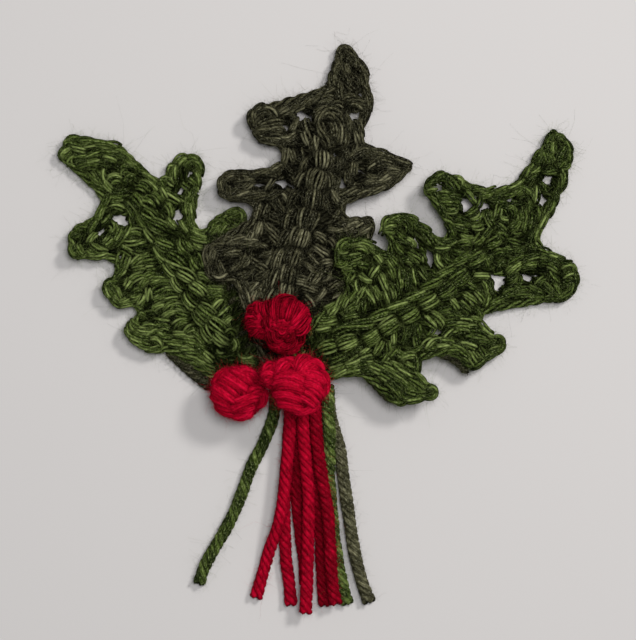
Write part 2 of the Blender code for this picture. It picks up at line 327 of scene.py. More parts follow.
def shader_node(tree, kind, inputs=None, **settings):
    """A shader node with its settings, its inputs set to values or linked to other outputs."""
    node = tree.nodes.new("ShaderNode" + kind)
    for key, value in settings.items():
        setattr(node, key, value)
    for key, value in (inputs or {}).items():
        if isinstance(value, bpy.types.NodeSocket):
            tree.links.new(value, node.inputs[key])
        else:
            node.inputs[key].default_value = value
    return node


def math_node(tree, kind, *values):
    """Arithmetic on up to three values or outputs."""
    return shader_node(tree, "Math", dict(enumerate(values)), operation=kind).outputs[0]


def fibre_group():
    """Streaks of the single fibres that lie along a ply, from its map, and spots of painted highlight on
    them.
    """
    group = bpy.data.node_groups.new("fibres", "ShaderNodeTree")
    face = group.interface
    face.new_socket("Ply map", in_out="INPUT", socket_type="NodeSocketVector")
    face.new_socket("Round", in_out="INPUT", socket_type="NodeSocketFloat").default_value = 7
    face.new_socket("Along", in_out="INPUT", socket_type="NodeSocketFloat").default_value = 0.8
    for mask in ("Streak", "Patch", "Glint"):
        face.new_socket(mask, in_out="OUTPUT", socket_type="NodeSocketFloat")
    given = group.nodes.new("NodeGroupInput").outputs
    split = shader_node(group, "SeparateXYZ", {0: given["Ply map"]}).outputs
    around = math_node(group, "MULTIPLY", split["X"], given["Round"])
    slide = math_node(group, "MULTIPLY", split["Y"], given["Along"])
    slant = math_node(group, "ADD", around, split["Y"])
    fibre_map = shader_node(group, "CombineXYZ", {"X": slant, "Y": slide}).outputs[0]
    streak = shader_node(group, "TexNoise", {"Scale": 1.0, "Detail": 3.0, "Roughness": 0.65,
                                             "Vector": fibre_map})
    patch = shader_node(group, "TexNoise", {"Scale": 0.35, "Detail": 2.0,
                                            "Vector": given["Ply map"]})
    # painted highlights: short bright specks where light would glint on single fibres
    glint_noise = shader_node(group, "TexNoise", {"Scale": 2.6, "Detail": 1.0, "Vector": fibre_map})
    glint = shader_node(group, "MapRange", {"From Min": 0.56, "From Max": 0.74,
                                            "Value": glint_noise.outputs["Fac"]})
    outside = group.nodes.new("NodeGroupOutput")
    group.links.new(streak.outputs["Fac"], outside.inputs["Streak"])
    group.links.new(patch.outputs["Fac"], outside.inputs["Patch"])
    group.links.new(glint.outputs[0], outside.inputs["Glint"])
    return group


fibres = fibre_group()


def yarn_material(name, deep, middle, pale, glint, crevice_shade, streaks=2.0, painted_glint_share=0.8):
    """Plied yarn: fibre streaks, plies of slightly different tint, painted highlights on single fibres,
    and painted shade in the crevices.

    streaks says how strong the single fibres show; glint is the colour of the painted highlights, and the
    last setting says how many there are; the shade attribute darkens the colour down to the share given
    for the crevices."""
    material = bpy.data.materials.new(name)
    material.use_nodes = True
    tree = material.node_tree
    ply_map = shader_node(tree, "UVMap", uv_map="ply")
    fibre = shader_node(tree, "Group", {0: ply_map.outputs[0]}, node_tree=fibres).outputs
    tint = shader_node(tree, "Attribute", attribute_name="tint").outputs["Fac"]
    shade = shader_node(tree, "Attribute", attribute_name="shade").outputs["Fac"]
    shift = math_node(tree, "MULTIPLY_ADD", fibre["Patch"], 0.8, -0.3 - streaks / 2)
    part = math_node(tree, "MULTIPLY_ADD", tint, 0.8, shift)
    blend = math_node(tree, "MULTIPLY_ADD", fibre["Streak"], streaks, part)
    ramp = shader_node(tree, "ValToRGB", {0: blend})
    first, last = ramp.color_ramp.elements
    first.color = (*deep, 1)
    first.position = 0.12
    last.color = (*pale, 1)
    last.position = 0.92
    ramp.color_ramp.elements.new(0.5).color = (*middle, 1)
    # painted highlights: small glints of light on single fibres, mixed in as a pale colour
    amount = math_node(tree, "MULTIPLY", fibre["Glint"], painted_glint_share)
    glinted_colour = shader_node(tree, "Mix", {"Factor": amount, "A": ramp.outputs[0], "B": (*glint, 1)},
                         data_type="RGBA")
    # painted shade: the shade attribute darkens the colour in the crevices between plies, at the sides of
    # stitches and where yarn goes under yarn
    depth = shader_node(tree, "MapRange", {"Value": shade, "From Min": 0.1, "From Max": 0.95,
                                           "To Min": crevice_shade})
    shaded = shader_node(tree, "Mix", {"Factor": 1.0, "A": glinted_colour.outputs["Result"],
                                       "B": depth.outputs[0]},
                         data_type="RGBA", blend_type="MULTIPLY")
    rough = shader_node(tree, "MapRange", {"Value": fibre["Streak"], "To Min": 0.9, "To Max": 0.6})
    bump = shader_node(tree, "Bump", {"Height": fibre["Streak"], "Strength": 0.6,
                                      "Distance": 0.12 * MM})
    shader = tree.nodes["Principled BSDF"]
    shader.inputs["Specular IOR Level"].default_value = 0.01
    shader.inputs["Sheen Weight"].default_value = 0.02
    shader.inputs["Sheen Roughness"].default_value = 0.4
    shader.inputs["Sheen Tint"].default_value = (*[min(1, 4 * value) for value in pale], 1)
    tree.links.new(shaded.outputs["Result"], shader.inputs["Base Color"])
    tree.links.new(rough.outputs[0], shader.inputs["Roughness"])
    tree.links.new(bump.outputs[0], shader.inputs["Normal"])
    return material


green_yarn = yarn_material(
    "green_yarn", (0.004, 0.009, 0.0008), (0.056, 0.084, 0.014), (0.205, 0.260, 0.080),
    (0.300, 0.350, 0.150), 0.005)
olive_yarn = yarn_material(
    "olive_yarn", (0.004, 0.004, 0.0015), (0.047, 0.045, 0.022), (0.185, 0.178, 0.104),
    (0.290, 0.280, 0.190), 0.005)
red_yarn = yarn_material(
    "red_yarn", (0.110, 0.0002, 0.004), (0.320, 0.0010, 0.014), (0.560, 0.004, 0.034),
    (0.600, 0.045, 0.080), 0.30, streaks=1.3, painted_glint_share=0.25)
UP = np.array([0.0, 0.0, 1.0])


def colour_of(name):
    """The yarn's colour and its material, from the piece's name."""
    if "green" in name:
        return "green_yarn", green_yarn
    if "olive" in name:
        return "olive_yarn", olive_yarn
    return "red_yarn", red_yarn


def stand_in(piece, node_name):
    """The piece is part of the sprig, and is shown in the place of one of the plain pieces."""
    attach(piece, "root")
    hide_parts(node_name)


# How light each tail is: the low tints of red_4, red_5 and red_6 are painted shade, as they lie under and
# beside the others.
# And how its plies look: the red ones hold together, with faint painted shade between the plies and little
# difference in tint.
TAIL_TONES_AND_SHADE = {"tail_red_1": 0.32, "tail_red_2": 0.30, "tail_red_3": 0.36, "tail_red_4": 0.05,
              "tail_red_5": 0.02, "tail_red_6": 0.05, "tail_green_right": 0.2,
              "tail_green_left": 0.22, "tail_olive_right": 0.32}
FAINT_PLY_SHADE = {"groove_shade": 0.38, "mixed": 0.04}
CRISP = {"groove_shade": 0.65, "mixed": 0.2}

for tail_name, route in TAILS.items():
    line = evenly(route, step=0.45)
    work = YarnWork()
    line[:, 2] += (TAIL_THICK - YARN) / 2
    work.lay(line, UP, thick=TAIL_THICK, sides=8, taper=0, tint=TAIL_TONES_AND_SHADE[tail_name], full=1.14,
             **(FAINT_PLY_SHADE if "red" in tail_name else CRISP))
    slot_name, yarn = colour_of(tail_name)
    tail = work.make(tail_name + "_yarn", yarn)
    loose = YarnWork()
    loose.fuzz(work, count=1000, length=0.7, thick=0.018, lift=0.4)
    loose.fuzz(work, count=60, length=2.4, thick=0.013, lift=0.7)
    fuzz = loose.make(tail_name + "_fuzz", yarn)
    stand_in(tail, tail_name)
    stand_in(fuzz, tail_name)

# ---------------------------------------------------------------------------------------------
# The left leaf, the lowest of the three. It is crocheted in mid green yarn: a raised chain up the
# middle, short stitches worked out from it, and knotted points round the edge. Small holes stay
# open between some stitches. Each stitch below is a run through three spots, and its width.
PLY_GAP = 0.69  # from the middle of one ply to the next in a stitch
SLANT = 0.22  # how far the plies cross a stitch, as the yarn is twisted
STITCH_STEP = 0.42  # between the points along a stitch
END_DROP = 1.1  # how far the ends of a stitch go down
TIP_DEEPER = 0.3  # how much deeper the tint gets over a leaf's length
LEAF_LENGTH = 60
EDGE_IN = 1.6  # the strands behind the stitches stop this far inside the rim
HOLE_CLEAR = 0.75  # and this far from a hole
STRAND_HALF = 3.1  # half the length of such a strand
RIM_STEP = 0.5  # between the points of the yarn round the rim
CHAIN_STITCH = 3.7  # from one stitch to the next along the rim
LEFT_SPINE = [(-24, -33), (-25, -27), (-28.5, -20), (-31.5, -13.5), (-34.5, -7), (-37.5, 0),
              (-41.5, 7), (-46.5, 14), (-53, 18.5), (-62.5, 20)]
# Each hole is its middle and its radius.
LEFT_HOLES = [(-50.6, 3.2, 0.15), (-49.4, 2.4, 0.35), (-32.7, 13.7, 0.3), (-34.8, 10.0, 0.3),
              (-35.6, 4.2, 0.35), (-20.5, 3.4, 0.3), (-54.0, -0.4, 0.2)]
LEFT_RIB = [
    (-45.2, 11.8, -44.0, 11.0, -42.9, 9.6, 3.0), (-46.2, 9.4, -44.9, 7.8, -44.0, 6.0, 2.6),
    (-44.0, 8.0, -42.6, 7.2, -41.2, 5.8, 2.8), (-43.6, 5.4, -42.2, 4.2, -41.0, 2.6, 3.4),
    (-45.0, 4.4, -43.8, 2.6, -42.6, 1.0, 2.0), (-42.0, 3.0, -40.2, 1.8, -38.4, 0.0, 3.2),
    (-43.4, 0.8, -42.0, -0.8, -40.8, -2.8, 2.4), (-40.2, -1.4, -38.6, -2.8, -36.6, -4.6, 3.2),
    (-41.0, -3.4, -39.6, -5.8, -38.0, -8.0, 2.6), (-37.6, -5.4, -35.6, -6.8, -33.8, -9.0, 3.6),
    (-38.6, -7.6, -37.0, -9.6, -35.6, -11.6, 2.4), (-34.8, -9.4, -33.0, -10.8, -31.4, -12.6, 3.0),
    (-36.2, -11.0, -35.2, -13.0, -33.8, -15.0, 2.4), (-31.4, -12.6, -30.0, -14.2, -28.8, -16.2, 3.2),
    (-33.2, -15.2, -32.0, -17.4, -30.4, -19.2, 2.6), (-29.8, -18.2, -28.0, -19.8, -26.4, -21.6, 3.2),
    (-30.8, -19.6, -29.4, -21.6, -27.8, -23.6, 2.4), (-27.0, -21.6, -25.2, -23.2, -23.4, -25.0, 3.0),
    (-28.6, -23.0, -27.4, -25.4, -26.0, -27.6, 2.4), (-25.8, -25.2, -24.4, -26.8, -23.0, -28.2, 2.6),
]
LEFT_STITCHES = [
    # the tip
    (-63.2, 22.2, -61.6, 23.6, -59.4, 22.8, 1.8), (-60.0, 22.8, -56.5, 22.6, -52.6, 21.9, 1.8),
    (-53.6, 22.2, -50.6, 21.0, -48.5, 19.3, 1.8), (-49.6, 19.9, -46.6, 18.1, -44.6, 16.0, 2.2),
    (-45.0, 16.2, -42.6, 14.8, -40.6, 13.2, 2.0), (-63.8, 22.2, -61.6, 21.4, -58.6, 20.0, 2.2),
    (-65.0, 17.8, -63.8, 19.4, -62.0, 20.8, 2.6), (-62.8, 16.3, -62.4, 17.8, -61.2, 19.2, 1.8),
    (-59.4, 21.6, -56.0, 21.2, -52.4, 20.4, 1.6), (-61.8, 18.2, -58.2, 18.9, -54.6, 19.4, 2.0),
    (-61.0, 17.2, -58.0, 17.4, -55.0, 17.2, 1.8), (-60.6, 16.2, -58.0, 16.2, -55.8, 15.2, 1.6),
    (-54.0, 18.6, -52.2, 18.4, -50.4, 17.6, 2.0), (-54.4, 20.4, -51.8, 19.8, -49.0, 18.4, 1.6),
    (-50.4, 19.2, -48.4, 17.8, -46.4, 16.0, 1.8), (-55.6, 17.4, -53.6, 16.8, -51.4, 16.6, 1.6),
    (-52.8, 12.4, -51.0, 13.2, -49.4, 12.4, 3.4), (-53.6, 15.4, -53.6, 12.6, -52.0, 10.0, 1.8),
    (-57.0, 14.4, -55.6, 12.2, -53.8, 10.4, 2.0), (-55.6, 15.6, -54.8, 13.2, -53.6, 11.2, 1.6),
    (-49.9, 15.2, -48.0, 16.3, -45.8, 15.4, 1.8), (-49.0, 12.8, -48.8, 15.0, -46.6, 14.6, 1.6),
    (-48.4, 11.0, -47.2, 13.4, -45.6, 12.6, 2.2), (-44.8, 15.0, -42.8, 13.6, -41.0, 12.2, 1.8),
    (-51.6, 10.2, -49.6, 9.6, -47.4, 10.0, 2.2), (-52.4, 8.4, -50.4, 8.2, -48.2, 8.4, 1.8),
    (-43.4, 13.2, -41.6, 11.4, -40.2, 9.6, 1.8), (-42.0, 9.4, -40.6, 8.2, -39.4, 6.6, 1.8),
    (-48.4, 7.2, -46.8, 5.6, -45.8, 3.4, 2.2), (-47.2, 4.0, -46.6, 2.4, -46.2, 0.6, 1.6),
    # the second point on the outer side
    (-61.4, 0.0, -59.8, 1.0, -57.6, 0.4, 2.2), (-62.4, -2.6, -61.0, -1.0, -58.4, -1.2, 2.4),
    (-62.4, -3.6, -62.2, -5.6, -60.6, -6.6, 1.8), (-61.4, -3.4, -61.2, -5.0, -60.0, -6.4, 2.0),
    (-60.2, -3.4, -59.6, -5.0, -58.6, -6.2, 2.0), (-58.0, -4.8, -56.0, -6.2, -53.2, -6.0, 2.0),
    (-56.8, -3.0, -55.0, -4.8, -53.0, -4.6, 2.2), (-57.6, -3.2, -56.6, -1.5, -55.4, -0.6, 1.8),
    (-57.6, -0.6, -56.6, 1.2, -55.4, 2.6, 2.0), (-55.6, 2.6, -54.6, 4.8, -53.4, 6.8, 2.2),
    (-54.0, 5.8, -53.2, 7.6, -52.4, 9.4, 2.0), (-52.4, -0.9, -51.2, 0.6, -52.2, 2.4, 2.4),
    (-54.2, 1.6, -53.2, 2.6, -51.8, 4.6, 1.4), (-54.2, -3.2, -51.6, -2.0, -49.4, 0.0, 2.8),
    (-51.2, -3.2, -49.0, -1.6, -46.6, 0.8, 2.2), (-52.2, 6.4, -50.2, 6.4, -48.4, 5.4, 2.0),
    (-55.4, -2.6, -54.2, -4.0, -52.6, -4.6, 1.6), (-48.0, -0.8, -45.8, 0.0, -43.8, -0.6, 2.0),
    # the body beside the rib, outer side
    (-49.8, -3.6, -48.2, -4.8, -46.6, -6.2, 2.2), (-48.4, -2.2, -45.8, -3.0, -43.0, -3.0, 2.4),
    (-46.4, -4.6, -44.6, -5.6, -42.6, -4.6, 1.6), (-49.0, -9.8, -48.6, -8.0, -47.6, -6.0, 2.2),
    (-50.4, -8.6, -49.8, -6.6, -49.0, -5.0, 1.6), (-46.8, -8.0, -44.0, -7.0, -40.8, -7.4, 2.4),
    (-46.4, -9.4, -43.5, -9.2, -40.5, -9.4, 1.6), (-43.6, -11.4, -41.4, -11.0, -38.6, -11.8, 2.2),
    (-47.6, -12.8, -45.6, -11.4, -43.4, -11.2, 2.2), (-44.8, -14.2, -43.8, -12.8, -42.4, -12.0, 1.8),
    (-42.0, -12.8, -39.6, -12.4, -36.8, -13.0, 1.8), (-41.4, -15.4, -38.6, -14.4, -35.4, -15.2, 2.4),
    (-41.6, -17.0, -38.6, -16.4, -35.2, -16.8, 2.0), (-42.8, -17.6, -42.6, -15.8, -42.2, -14.2, 2.2),
    (-45.4, -18.6, -44.4, -17.4, -43.6, -16.0, 2.0), (-38.4, -19.4, -36.0, -18.4, -33.4, -19.8, 2.2),
    (-38.8, -21.2, -36.0, -20.4, -32.8, -21.4, 2.0), (-42.0, -19.8, -40.2, -18.6, -38.4, -18.2, 1.8),
    (-36.4, -23.8, -34.4, -22.6, -32.6, -22.6, 2.0), (-33.6, -25.6, -32.4, -24.4, -30.4, -24.0, 1.8),
    (-41.2, -22.0, -39.4, -22.4, -37.4, -22.2, 1.8), (-43.6, -20.8, -41.8, -20.4, -40.0, -20.2, 1.6),
    # the third and fourth points on the outer side
    (-53.6, -13.6, -52.2, -12.6, -50.0, -12.6, 2.0), (-53.8, -13.8, -53.0, -15.6, -51.6, -16.6, 2.0),
    (-52.6, -12.8, -51.6, -14.6, -50.4, -16.4, 2.0), (-50.8, -13.6, -50.2, -15.6, -49.4, -17.0, 1.8),
    (-52.4, -16.6, -51.4, -18.6, -49.4, -19.3, 2.0), (-50.0, -18.8, -48.0, -19.4, -46.4, -18.6, 2.0),
    (-50.2, -17.4, -48.6, -17.6, -47.0, -17.2, 1.8), (-48.6, -14.6, -47.6, -13.2, -46.8, -12.2, 2.2),
    (-50.6, -11.4, -49.6, -10.6, -48.8, -9.4, 1.8), (-47.4, -16.8, -46.0, -16.8, -44.8, -15.6, 1.8),
    (-46.8, -15.2, -45.4, -14.6, -44.2, -14.8, 1.6), (-48.0, -24.0, -47.0, -26.8, -44.4, -28.3, 2.0),
    (-47.4, -22.6, -46.0, -25.4, -43.0, -27.0, 2.2), (-46.8, -21.6, -45.0, -24.2, -42.0, -25.4, 2.0),
    (-45.0, -28.0, -42.4, -29.2, -39.8, -29.8, 2.0), (-42.2, -27.0, -40.4, -27.4, -39.4, -29.0, 2.0),
    (-43.4, -25.8, -40.6, -25.0, -38.6, -26.6, 2.0), (-46.0, -21.0, -44.6, -20.4, -43.4, -21.6, 1.8),
    (-44.4, -24.0, -42.6, -23.6, -40.6, -24.0, 1.8), (-41.0, -24.6, -39.0, -23.8, -37.0, -24.6, 1.8),
    (-39.8, -26.0, -37.0, -27.4, -34.0, -28.4, 2.2), (-37.6, -27.8, -34.5, -29.2, -31.6, -30.0, 2.0),
    (-33.0, -29.8, -30.2, -31.4, -28.2, -33.6, 2.2), (-31.0, -31.2, -28.8, -33.2, -26.6, -35.2, 2.0),
    (-36.2, -25.6, -33.6, -26.4, -31.0, -27.6, 2.0), (-33.6, -27.4, -31.0, -28.6, -29.0, -30.2, 2.0),
    (-30.8, -27.8, -28.8, -30.0, -27.0, -32.6, 2.2), (-31.6, -25.2, -29.8, -26.4, -28.4, -28.4, 1.8),
    # the inner side, with its two points
    (-38.9, 15.0, -38.0, 16.9, -36.4, 16.2, 2.0), (-36.6, 17.2, -35.2, 19.4, -33.4, 19.4, 2.0),
    (-33.6, 19.4, -31.4, 18.8, -30.2, 17.4, 2.0), (-31.4, 18.0, -29.8, 16.8, -29.6, 14.4, 2.2),
    (-35.0, 16.4, -34.4, 18.0, -33.4, 18.9, 2.2), (-33.6, 15.6, -32.6, 17.0, -31.2, 17.4, 2.0),
    (-36.2, 13.0, -36.0, 14.8, -35.4, 16.4, 1.8), (-30.9, 15.0, -30.1, 13.2, -30.4, 11.2, 2.0),
    (-31.0, 11.8, -31.4, 9.6, -32.0, 7.2, 2.0), (-32.4, 9.0, -33.2, 6.4, -33.6, 4.2, 1.8),
    (-31.8, 7.0, -32.1, 4.0, -32.0, 0.8, 1.8), (-39.6, 13.6, -39.0, 11.0, -38.4, 8.2, 2.0),
    (-37.6, 13.8, -37.2, 12.2, -36.2, 11.2, 1.6), (-38.2, 9.6, -36.8, 8.0, -34.8, 6.8, 2.4),
    (-37.0, 8.8, -35.0, 8.2, -33.2, 7.6, 1.6), (-38.2, 7.0, -37.4, 5.4, -37.0, 3.4, 2.0),
    (-34.2, 12.0, -33.4, 11.2, -32.4, 10.4, 1.6), (-37.8, 3.4, -37.2, 1.8, -35.8, 0.6, 1.8),
    (-34.4, 2.6, -34.0, 1.2, -32.8, -0.6, 1.8), (-32.2, 0.4, -30.0, -0.9, -27.8, -1.4, 2.0),
    (-32.4, -1.2, -30.0, -2.2, -27.8, -2.4, 1.8), (-27.4, 0.8, -26.0, 2.0, -24.0, 2.2, 2.2),
    (-27.4, -0.8, -25.8, 0.4, -24.4, 1.2, 1.8), (-25.2, -0.8, -24.2, 0.8, -23.0, 2.0, 1.8),
    (-23.4, 4.4, -22.0, 5.8, -20.0, 5.4, 1.8), (-20.2, 5.5, -18.5, 4.6, -18.6, 2.8, 1.6),
    (-23.4, 4.4, -23.3, 2.8, -21.8, 2.0, 1.6), (-22.0, 2.0, -20.0, 1.2, -18.7, 2.4, 1.6),
    (-23.4, -0.8, -22.0, 0.0, -20.4, -0.2, 2.0), (-34.8, -2.0, -34.6, -4.0, -33.2, -5.6, 2.0),
    (-32.3, 13.6, -31.4, 12.6, -30.7, 11.6, 2.0), (-32.8, 10.0, -32.0, 9.0, -31.4, 8.0, 2.0),
    (-33.2, 6.8, -32.4, 5.8, -32.0, 4.8, 2.0), (-39.4, 12.6, -38.2, 12.8, -37.0, 12.0, 1.9),
    (-39.2, 9.9, -38.0, 10.0, -36.8, 9.2, 1.9), (-33.4, 3.4, -32.6, 2.4, -32.2, 1.2, 1.9),
    (-33.2, -2.6, -32.6, -4.2, -31.4, -5.2, 1.8), (-31.6, -3.2, -30.4, -4.4, -28.8, -4.6, 1.8),
    (-32.0, -6.6, -31.4, -8.4, -30.2, -9.8, 2.0), (-30.6, -5.8, -29.6, -7.6, -28.8, -9.4, 1.8),
    (-30.4, -10.8, -28.8, -11.4, -27.4, -12.6, 2.0), (-28.4, -13.8, -26.0, -14.6, -23.8, -15.2, 2.2),
    (-28.0, -17.0, -26.0, -15.8, -23.6, -16.4, 2.0), (-27.0, -20.0, -25.6, -18.2, -23.8, -17.4, 2.2),
    (-25.2, -21.6, -23.8, -20.2, -22.4, -18.8, 2.0), (-24.4, -24.0, -23.2, -22.4, -21.8, -21.4, 1.8),
    (-23.2, -25.8, -21.8, -24.8, -20.6, -25.8, 1.6), (-25.8, -28.9, -24.4, -30.6, -22.4, -29.8, 1.6),
    (-25.6, -28.6, -24.0, -27.6, -22.2, -28.4, 1.6), (-21.6, -26.6, -20.6, -28.4, -21.6, -30.2, 1.8),
    (-20.0, -30.4, -18.2, -31.6, -16.2, -31.2, 1.8), (-19.6, -32.6, -17.8, -32.4, -15.8, -33.0, 1.8),
    (-23.6, -31.6, -22.0, -31.2, -20.6, -31.8, 1.6),
]


def outline_of(node):
    """The upper edge of a leaf's side wall, as points in order, anticlockwise."""
    shape = bmesh.new()
    shape.from_mesh(node.data)
    bmesh.ops.remove_doubles(shape, verts=shape.verts, dist=1e-6)
    shape.normal_update()
    after = {}
    for edge in shape.edges:
        walls = [abs(face.normal.z) < 0.3 for face in edge.link_faces]
        if walls.count(True) != 1:
            continue
        top = edge.link_faces[walls.index(False)]
        if top.normal.z < 0:
            continue
        for loop in edge.link_loops:
            if loop.face == top:
                after[loop.vert.index] = loop.link_loop_next.vert.index
    start = min(after)
    order = [start]
    while after[order[-1]] != start:
        order.append(after[order[-1]])
    shape.verts.ensure_lookup_table()
    points = np.array([shape.verts[i].co.xy for i in order]) / MM
    shape.free()
    return points


class LeafGround:
    """The middle layer of a leaf: how high it lies, and which way its front faces."""

    SMOOTH = 2.2  # steps in the layer are smoothed over about this far

    def __init__(self, node):
        co = np.array([vert.co for vert in node.data.vertices]) / MM
        self.co = np.unique(co.round(3), axis=0)

    def height(self, spots):
        """How high the layer lies at some spots, smoothed over its corner points."""
        near = ((spots[:, None] - self.co[None, :, :2]) ** 2).sum(-1)
        weight = np.exp(-(near - near.min(1, keepdims=True)) / (2 * self.SMOOTH**2))
        return (weight * self.co[:, 2]).sum(1) / weight.sum(1)

    def place(self, spots):
        """Points at x, y and a height over the middle layer, and the directions of its front."""
        spots = np.asarray(spots, float)
        flat = spots[:, :2]
        z = self.height(flat)
        step = 0.5
        slope_x = (self.height(flat + [step, 0]) - z) / step
        slope_y = (self.height(flat + [0, step]) - z) / step
        up = unit(np.stack([-slope_x, -slope_y, np.ones(len(z))], 1))
        return np.column_stack([flat, z]) + up * spots[:, 2:], up


def depth_inside(spots, outline):
    """How far spots lie inside an outline, and below nought outside it."""
    a, b = outline, np.roll(outline, -1, axis=0)
    way = b - a
    share = ((spots[:, None] - a) * way).sum(-1) / np.maximum((way**2).sum(-1), 1e-9)
    foot = a + np.clip(share, 0, 1)[..., None] * way
    gap = np.linalg.norm(spots[:, None] - foot, axis=-1).min(1)
    y = spots[:, 1:2]
    crosses = (a[:, 1] > y) != (b[:, 1] > y)
    at = a[:, 0] + (y - a[:, 1]) / np.where(way[:, 1] == 0, 1e-9, way[:, 1]) * way[:, 0]
    inside = (crosses & (spots[:, :1] < at)).sum(1) % 2 == 1
    return np.where(inside, gap, -gap)


def run_through(stitch, t):
    """Points on the smooth run through a stitch's three spots; t is 0 at its start, 1 at its end."""
    a, m, b = np.array(stitch[:6], float).reshape(3, 2)
    return 2 * (t - 0.5) * (t - 1) * a + 4 * t * (1 - t) * m + 2 * t * (t - 0.5) * b


def bundle(work, ground, stitch, lift, rise, holes=(), dark=0.15, tones=(0.30, 0.75),
           groove_shade=1.0, full=0.54, slant=SLANT, sides=0.34, mixed=0.26, gap=PLY_GAP):
    """A stitch seen from the front: its plies lie side by side, arched, with both ends down.

    lift is its height over the ground and rise the height of its arch. dark is how much light is painted
    on its ends, which go under their neighbours, sides how much painted shade its outer plies take where
    they meet the next stitch, full how thick each ply is for its gap, and mixed how far the tints of the
    plies differ."""
    x0, y0, _, _, x1, y1, width = stitch
    count = int(np.clip(np.linalg.norm(np.array([x1 - x0, y1 - y0])) / STITCH_STEP, 8, 18))
    t = np.linspace(-0.07, 1.07, count)[:, None]
    line = run_through(stitch, t)
    ahead = unit(np.gradient(line, axis=0))
    aside = np.stack([-ahead[:, 1], ahead[:, 0]], 1)
    s = np.clip(t[:, 0], 0, 1)
    arch = 1 - np.abs(2 * s - 1) ** 3.0
    end = np.clip((np.abs(2 * t[:, 0] - 1) - 0.86) / 0.28, 0, 1)
    plies = max(2, round(width / gap))
    spread = (width - gap) / 2 * (0.78 + 0.22 * arch)
    paths, ups, shades = [], [], []
    for place in np.linspace(-1, 1, plies):
        sway = chance.normal(0, 0.07) + 0.10 * np.sin(s * chance.uniform(2, 5) + chance.uniform(0, 6))
        sway = sway + chance.normal(0, 0.30) * (s - 0.5)
        across = place + slant * (2 * s - 1)
        out = across * spread + sway
        crown = np.sqrt(1 - np.clip(0.82 * across, -0.99, 0.99) ** 2) - 0.6
        height = lift + rise * (arch - 0.6) + crown * width * 0.42 + chance.normal(0, 0.07)
        height = height - END_DROP * end**1.5
        spots = np.column_stack([line + aside * out[:, None], height])
        for x, y, radius in holes:
            away = spots[:, :2] - (x, y)
            off = np.linalg.norm(away, axis=1, keepdims=True)
            room = radius + gap / 2
            spots[:, :2] += away / np.maximum(off, 0.05) * np.clip(room - off, 0, None)
        points, up = ground.place(spots)
        paths.append(points)
        ups.append(up)
        # painted shade on the outer plies of the stitch, where it meets its neighbours
        shades.append(1 - sides * np.clip(np.abs(across), 0, 1.1) ** 3)
    near_end = np.minimum(s, 1 - s)
    size = np.full((plies, count), gap * full) * chance.uniform(0.86, 1.14, (plies, 1))
    size *= 0.85 + 0.15 * np.minimum(1, near_end * 8 + 0.2)
    tone = chance.uniform(*tones)
    tints = np.clip(tone + chance.normal(0, mixed, plies), 0, 1)
    # painted shade towards both ends, where the stitch goes under its neighbours
    shades = np.array(shades) * (dark + (1 - dark) * np.clip(near_end / 0.17, 0, 1))
    work.tubes(np.array(paths), np.array(ups), size, 6, tints, shade=shades, groove_shade=groove_shade)


def shorter(stitch, longest=4.9, part=3.3, overlap=0.12, offset=0.16):
    """A long stitch as a row of short ones, each slanting over the next as in a chain.

    longest and part are lengths, overlap is a share of a part, and offset one of the width."""
    x0, y0, xm, ym, x1, y1, width = stitch
    reach = np.linalg.norm(np.array([xm - x0, ym - y0])) + np.linalg.norm(np.array([x1 - xm, y1 - ym]))
    if reach < longest:
        return [stitch]
    parts = max(2, round(reach / part))
    aside = unit(np.array([y0 - y1, x1 - x0])) * width * offset
    cuts = np.linspace(0, 1, parts + 1)
    row = []
    for start, stop in zip(cuts, cuts[1:]):
        t = np.array([start - overlap / parts, (start + stop) / 2, stop + overlap / parts])
        spots = run_through(stitch, t[:, None]) + np.array([[-1], [0], [1]]) * aside
        row.append((*spots.ravel(), width))
    return row


def tucked_in(stitch, outline):
    """The stitch moved in from the rim, so that all its plies lie on the leaf."""
    spots = np.array(stitch[:6], float).reshape(3, 2)
    width = stitch[6]
    deep = depth_inside(spots, outline)
    slope = np.stack([depth_inside(spots + step, outline) - deep
                      for step in ((0.3, 0), (0, 0.3))], 1)
    spots += unit(slope + 1e-9) * np.clip(width / 2 - 0.1 - deep, 0, 1.2)[:, None]
    return (*spots.ravel(), width)


def clear_part(run, outline, holes):
    """The part of a run round its middle point that keeps clear of the rim and the holes."""
    middle = len(run) // 2
    deep = depth_inside(run, outline) - EDGE_IN + 0.25
    clear = np.array([min([np.hypot(*(point - (x, y))) - radius - HOLE_CLEAR
                           for x, y, radius in holes])
                      for point in run])
    good = (deep > 0) & (clear > 0)
    if not good[middle]:
        return []
    first = middle - np.argmin(np.append(good[middle::-1], False)) + 1
    last = middle + np.argmin(np.append(good[middle:], False)) - 1
    return run[first: last + 1]


